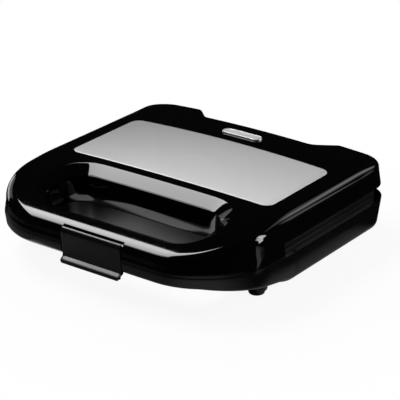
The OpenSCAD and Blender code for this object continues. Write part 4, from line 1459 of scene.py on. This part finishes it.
@dataclass
class Bush:
    """Rubber bush in the rear wall, where the mains lead would enter, in millimetres."""

    bore: float = 3.5

    def build(self) -> list[bpy.types.Object]:
        """Model and dress the bush.

        Returns:
            The bush.
        """
        neck = [(0.0, -8.0), (2.6, -8.0), (3.0, -7.6), (3.0, -6.4), (2.6, -6.0), (2.0, -6.0), (2.0, 0.0)]
        flange = [(3.1, 0.0), (3.5, 0.3), (3.5, 1.2), (3.2, 1.8)]
        lip = [(2.4, 2.1), (1.0, 2.2), (0.3, 2.0), (0.0, 1.6)]
        profile = [(self.bore + d, h) for d, h in neck + flange + lip]
        obj = Maker.turned("cord_inlet_bush", profile, PLAN.inlet, Axis.Y, tube=True)
        Maker.smooth(obj, 40)
        return [dress(obj, FOOT_RUBBER, Body.BASE, Slot.FOOT_RUBBER, "cord_bush")]


# ---------------------------------------------------------------- carried-over nodes


@dataclass
class Carried:
    """Construction nodes that keep their shape and get their finishes here.

    Args:
        eased_nodes: Nodes copied with rounded edges: finish, body, slot and rounding in millimetres.
        plain_nodes: Nodes that stay as they are, and their finishes.
    """

    eased_nodes: dict[str, tuple[Finish, Body, Slot, float]] = field(default_factory=lambda: {
        "lid_liner": (MATT_BLACK, Body.LID, Slot.MATT_BLACK, 0.25),
        "base_liner": (MATT_BLACK, Body.BASE, Slot.MATT_BLACK, 0.25),
        "upper_plate": (PLATE_COAT, Body.LID, Slot.PLATE_COATING, 0.6),
        "lower_plate": (PLATE_COAT, Body.BASE, Slot.PLATE_COATING, 0.6),
    })
    plain_nodes: dict[str, Finish] = field(default_factory=lambda: {
        "upper_element": SHEATH, "lower_element": SHEATH,
        "upper_element_clips": PLATED_STEEL, "lower_element_clips": PLATED_STEEL,
        "upper_reflector": PAN_SHEET, "lower_reflector": PAN_SHEET,
        "upper_plate_screws": PLATED_STEEL, "lower_plate_screws": PLATED_STEEL,
        "lid_screws": PLATED_STEEL, "base_screws": PLATED_STEEL,
        "lid_wires": SLEEVE, "base_wires": SLEEVE, "link_cable_lid": JACKET, "link_cable_base": JACKET,
        "latch_pin": PLATED_STEEL, "hinge_pins": PLATED_STEEL,
        "thermostat": CERAMIC, "thermostat_bracket": PLATED_STEEL, "thermal_fuse": FUSE_CAN,
        "fuse_clip": PLATED_STEEL, "terminal_block": CERAMIC, "terminal_screws": TERMINAL_BRASS,
    })

    @staticmethod
    def softened(node: str, width: float) -> bpy.types.Object:
        """Copy a node, merge its doubles and round its edges.

        Args:
            node: Name of the construction node.
            width: Width of the rounding in millimetres.

        Returns:
            The new piece.
        """
        obj = bpy.data.objects.new(node + "_eased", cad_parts[node].data.copy())
        bpy.context.collection.objects.link(obj)
        Maker.pick(obj)
        bpy.ops.object.mode_set(mode="EDIT")
        bpy.ops.mesh.select_all(action="SELECT")
        bpy.ops.mesh.remove_doubles(threshold=0.002 * MM)
        bpy.ops.mesh.dissolve_limited(angle_limit=math.radians(0.6))
        bpy.ops.object.mode_set(mode="OBJECT")
        Maker.apply(obj, "BEVEL", width=width * MM, segments=2, limit_method="ANGLE",
                    angle_limit=math.radians(50), use_clamp_overlap=True)
        Maker.smooth(obj)
        return obj

    def build(self) -> list[bpy.types.Object]:
        """Dress every carried-over node, and ease the ones that show.

        Returns:
            The eased copies and the plain nodes.
        """
        made = []
        for node, (finish, body, slot, width) in self.eased_nodes.items():
            made.append(dress(self.softened(node, width), finish, body, slot, node))
        for node, finish in self.plain_nodes.items():
            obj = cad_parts[node]
            obj.data.materials.clear()
            obj.data.materials.append(finish.material())
            made.append(obj)
        return made


# ---------------------------------------------------------------- studio


def aimed(name: str, data: bpy.types.ID, place: Vector, way: Vector) -> bpy.types.Object:
    """Add a lamp or a camera to the scene.

    Args:
        name: Name of the object.
        data: The lamp or camera.
        place: Position in metres.
        way: Direction that it looks in.

    Returns:
        The object.
    """
    obj = bpy.data.objects.new(name, data)
    bpy.context.collection.objects.link(obj)
    obj.location = place
    obj.rotation_mode = "QUATERNION"
    obj.rotation_quaternion = way.to_track_quat("-Z", "Y")
    return obj


@dataclass(frozen=True)
class Lamp:
    """Rectangular softbox.

    Args:
        name: Name of the lamp.
        place: Position in metres.
        aim: Place that it points at, in metres.
        size: Width and height in metres.
        radiance: Brightness of its face, where 1 is white.
    """

    name: str
    place: Point
    aim: Point
    size: Flat
    radiance: float

    def hang(self) -> bpy.types.Object:
        """Add the lamp to the scene.

        Returns:
            The lamp.
        """
        width, height = self.size
        data = bpy.data.lights.new(self.name, "AREA")
        data.shape = "RECTANGLE"
        data.size, data.size_y = width, height
        data.energy = self.radiance * width * height * math.pi
        obj = aimed(self.name, data, Vector(self.place), Vector(self.aim) - Vector(self.place))
        obj.visible_camera = False
        return obj


@dataclass
class DarkCard:
    """Dark card round the toaster, which only reflections see.

    It is near black, and paler in five places: round the toaster's foot, in front, at the right front
    corner, in a wedge out to the right and in a patch under the finger slot. Its glow is painted
    reflection: the pale places paint lit floor and highlights, and the near black paints the toaster's
    shadow and a dark studio. Places and distances are in metres unless their name says otherwise, and the
    wedge's turn is in degrees.
    """

    height_mm: float = 0.4
    under_mm: float = 12.0
    reach_mm: float = 3800.0
    corner: float = 0.045
    foot: Ramp = (0.003, 0.016, 0.2, 0.004)
    foot_inner: Ramp = (-0.014, -0.012, 0.0, 1.0)
    front: Ramp = (0.03, 0.12, 0.13, 0.0)
    front_end: Ramp = (-0.1, -0.05, 1.0, 0.0)
    near_place: Point = (0.125, -0.15, 0.0)
    near: Ramp = (0.02, 0.1, 0.36, 0.0)
    wedge_place: Point = (0.165, -0.05, 0.0)
    wedge_turn: float = 116.0
    wedge_spread: Ramp = (0.0, 0.035, 0.0, 0.125)
    wedge_edge: Ramp = (-0.01, 0.07, 0.0, 0.75)
    wedge_side: Ramp = (-0.0015, 0.0015, 0.0, 1.0)
    wedge_end: Ramp = (0.04, 0.08, 1.0, 0.0)
    patch_place: Point = (-0.0425, -0.1055, 0.0)
    patch_ahead: Point = (0.949, 0.316, 0.0)
    patch_length: Ramp = (0.046, 0.06, 2.1, 0.0)
    patch_width: Ramp = (0.013, 0.028, 1.0, 0.0)

    @staticmethod
    def local(wiring: Wiring, place: bpy.types.NodeSocket, centre: Point,
              ahead: Point) -> tuple[bpy.types.NodeSocket, bpy.types.NodeSocket]:
        """Measure places from a centre.

        Args:
            wiring: The card's wiring.
            place: The place on the card.
            centre: The centre.
            ahead: Direction of the first distance; the second is a quarter turn to its left.

        Returns:
            The distances ahead and aside.
        """
        offset = wiring.vector("SUBTRACT", place, centre)
        aside = (-ahead[1], ahead[0], 0.0)
        along, across = (wiring.vector("DOT_PRODUCT", offset, way, out="Value") for way in (ahead, aside))
        return along, across

    def tone(self, wiring: Wiring) -> bpy.types.NodeSocket:
        """Wire up the card's brightness.

        Args:
            wiring: The card's wiring.

        Returns:
            The brightness.
        """
        maths, vector, ramp = wiring.maths, wiring.vector, wiring.ramp
        place = wiring.place()
        half = (PLAN.half * MM - self.corner, PLAN.rear * MM - self.corner, 1.0)
        past = vector("MAXIMUM", vector("SUBTRACT", vector("ABSOLUTE", place), half), (0.0, 0.0, 0.0))
        away = maths("SUBTRACT", vector("LENGTH", past, out="Value"), self.corner)
        north = wiring.add("ShaderNodeSeparateXYZ", {"Vector": place}).outputs["Y"]
        # painted reflection: glowing places that stand for lit floor and highlights, dark between them for
        # the toaster's shadow
        foot = maths("MULTIPLY", ramp(away, *self.foot), ramp(away, *self.foot_inner))
        front = maths("MULTIPLY", ramp(away, *self.front), ramp(north, *self.front_end))
        near = ramp(vector("DISTANCE", place, self.near_place, out="Value"), *self.near)
        turn = math.radians(self.wedge_turn)
        along, across = self.local(wiring, place, self.wedge_place, (math.sin(turn), -math.cos(turn), 0.0))
        edge = maths("SUBTRACT", along, ramp(across, *self.wedge_spread))
        wedge = maths("MULTIPLY", ramp(edge, *self.wedge_edge), ramp(across, *self.wedge_side))
        wedge = maths("MULTIPLY", wedge, ramp(north, *self.wedge_end))
        along, across = self.local(wiring, place, self.patch_place, self.patch_ahead)
        patch = maths("MULTIPLY", ramp(maths("ABSOLUTE", along), *self.patch_length),
                      ramp(maths("ABSOLUTE", across), *self.patch_width))
        brightest = foot
        for other in (front, near, wedge, patch):
            brightest = maths("MAXIMUM", brightest, other)
        return brightest

    def build(self) -> bpy.types.Object:
        """Lay the card and give it its brightness.

        Returns:
            The card.
        """
        line, z = PLAN.outline(), self.height_mm
        rings = [[(s.x * f, s.y * f, z) for s in line] for f in (0.01, 0.5)]
        starts = level(line, self.under_mm, z)
        far = [self.reach_mm / math.hypot(x, y) for x, y, _ in starts]
        ends = [(x * f, y * f) for (x, y, _), f in zip(starts, far)]
        rings += [[(x, y, z) for x, y in between(starts, ends, (k / 8) ** 2)] for k in range(9)]
        obj = Maker.skin("dark_card", rings)
        made, wiring = Wiring.material("dark_card")
        wiring.tree.nodes.remove(wiring.found("BSDF_PRINCIPLED"))
        # the card glows with its painted reflection tone, though it is no lamp
        glow = wiring.add("ShaderNodeEmission", {"Strength": self.tone(wiring)})
        wiring.fill(wiring.found("OUTPUT_MATERIAL"), {"Surface": glow.outputs["Emission"]})
        made.cycles.emission_sampling = "NONE"
        obj.data.materials.append(made)
        obj.visible_camera = obj.visible_shadow = obj.visible_diffuse = obj.visible_transmission = False
        return obj


@dataclass
class Studio:
    """White world, pale floor, dark card, softboxes and the camera.

    Sizes are in metres and degrees, the lens in millimetres. The floor glows, a little less near the
    toaster, where its shadow shows instead.
    """

    target: Point = (0.0488, -0.0463, 0.064)
    azimuth: float = 36.32
    elevation: float = 23.38
    distance: float = 1.4199
    lens: float = 163.87
    world_dark: float = 0.004
    floor_size: float = 8.0
    floor_drop: float = 0.0002
    floor_colour: Colour = (0.86, 0.86, 0.86)
    floor_glow: Ramp = (0.12, 0.34, 0.92, 1.0)
    lamps: tuple[Lamp, ...] = (
        Lamp("key_softbox", (-0.665, -0.045, 1.0), (-0.665, -0.045, 0.0), (0.57, 0.75), 11.5),
        Lamp("key_feather", (-0.665, -0.51, 1.0), (-0.665, -0.51, 0.0), (0.57, 0.18), 5.0),
        Lamp("left_panel", (-1.3, 0.253, 0.187), (-0.105, -0.09, 0.056), (0.6, 0.36), 2.6),
        Lamp("left_halo", (-1.203, 0.225, 0.564), (-0.105, -0.09, 0.056), (0.5, 0.34), 0.9),
        Lamp("right_strip_low", (1.077, 0.569, 0.42), (0.12, -0.065, 0.055), (0.19, 0.83), 10.5),
        Lamp("right_strip_high", (0.902, 0.627, 0.645), (0.12, -0.065, 0.055), (0.147, 0.666), 10.5),
        Lamp("rear_glow", (0.496, 1.127, 0.843), (0.118, 0.03, 0.06), (0.4, 0.17), 1.7),
        Lamp("rear_halo", (0.501, 1.142, 0.853), (0.118, 0.03, 0.06), (0.72, 0.4), 0.7),
        Lamp("side_glow", (0.934, 1.08, 0.42), (0.12, 0.0, 0.06), (0.15, 0.3), 1.2),
    )

    def camera(self) -> None:
        """Place the camera and make it the scene's own."""
        data = bpy.data.cameras.new("studio_camera")
        data.lens = self.lens
        data.sensor_width = 36.0
        data.dof.use_dof = False
        a, e = math.radians(self.azimuth), math.radians(self.elevation)
        back = Vector((math.sin(a) * math.cos(e), -math.cos(a) * math.cos(e), math.sin(e)))
        place = Vector(self.target) + back * self.distance
        bpy.context.scene.camera = aimed("studio_camera", data, place, -back)

    def world(self) -> None:
        """Light the world: white to the camera and through glass, near black to everything else."""
        world = bpy.data.worlds.new("studio_world")
        world.use_nodes = True
        wiring = Wiring(world.node_tree)
        path = wiring.add("ShaderNodeLightPath").outputs
        seen = wiring.maths("MAXIMUM", path["Is Camera Ray"], path["Is Transmission Ray"])
        strength = wiring.ramp(seen, 0.0, 1.0, self.world_dark, 1.0, soft=False)
        wiring.fill(wiring.found("BACKGROUND"), {"Color": (1.0, 1.0, 1.0, 1.0), "Strength": strength})
        bpy.context.scene.world = world

    def floor(self) -> None:
        """Lay the pale floor, which stays white and keeps a soft shadow."""
        Maker.pick()
        bpy.ops.mesh.primitive_plane_add(size=self.floor_size, location=(0, 0, -self.floor_drop))
        obj = bpy.context.active_object
        obj.name = "studio_floor"
        made, wiring = Wiring.material("pale_floor")
        matt = wiring.fill(wiring.found("BSDF_PRINCIPLED"), {
            "Base Color": (*self.floor_colour, 1.0), "Roughness": 0.9, "Specular IOR Level": 0.0})
        glow = wiring.add("ShaderNodeEmission", {"Strength": 1.0})
        path = wiring.add("ShaderNodeLightPath").outputs
        seen = wiring.maths("MAXIMUM", path["Is Camera Ray"], path["Is Glossy Ray"])
        seen = wiring.maths("MAXIMUM", seen, path["Is Transmission Ray"])
        away = wiring.vector("LENGTH", wiring.place(), out="Value")
        share = wiring.maths("MULTIPLY", seen, wiring.ramp(away, *self.floor_glow))
        mix = wiring.add("ShaderNodeMixShader", {
            "Fac": share, 1: matt.outputs["BSDF"], 2: glow.outputs["Emission"]})
        wiring.fill(wiring.found("OUTPUT_MATERIAL"), {"Surface": mix.outputs["Shader"]})
        obj.data.materials.append(made)

    def build(self) -> None:
        """Set up the world, the floor, the lamps, the card and the camera."""
        bpy.context.scene.view_settings.view_transform = "Standard"
        self.world()
        self.floor()
        for lamp in self.lamps:
            lamp.hang()
        DarkCard().build()
        self.camera()


def main() -> None:
    """Build the toaster sub-assembly by sub-assembly, then the studio."""
    logging.basicConfig(level=logging.INFO, format="%(name)s: %(message)s")
    for part in (LidShell(), Inlay(), Badge(), Latch(), BaseShell(), Feet(), Bush(), Carried()):
        for obj in part.build():
            LOG.info("%s: %d faces", obj.name, len(obj.data.polygons))
    Studio().build()
    bpy.context.view_layer.update()


if __name__ == "__main__":
    main()
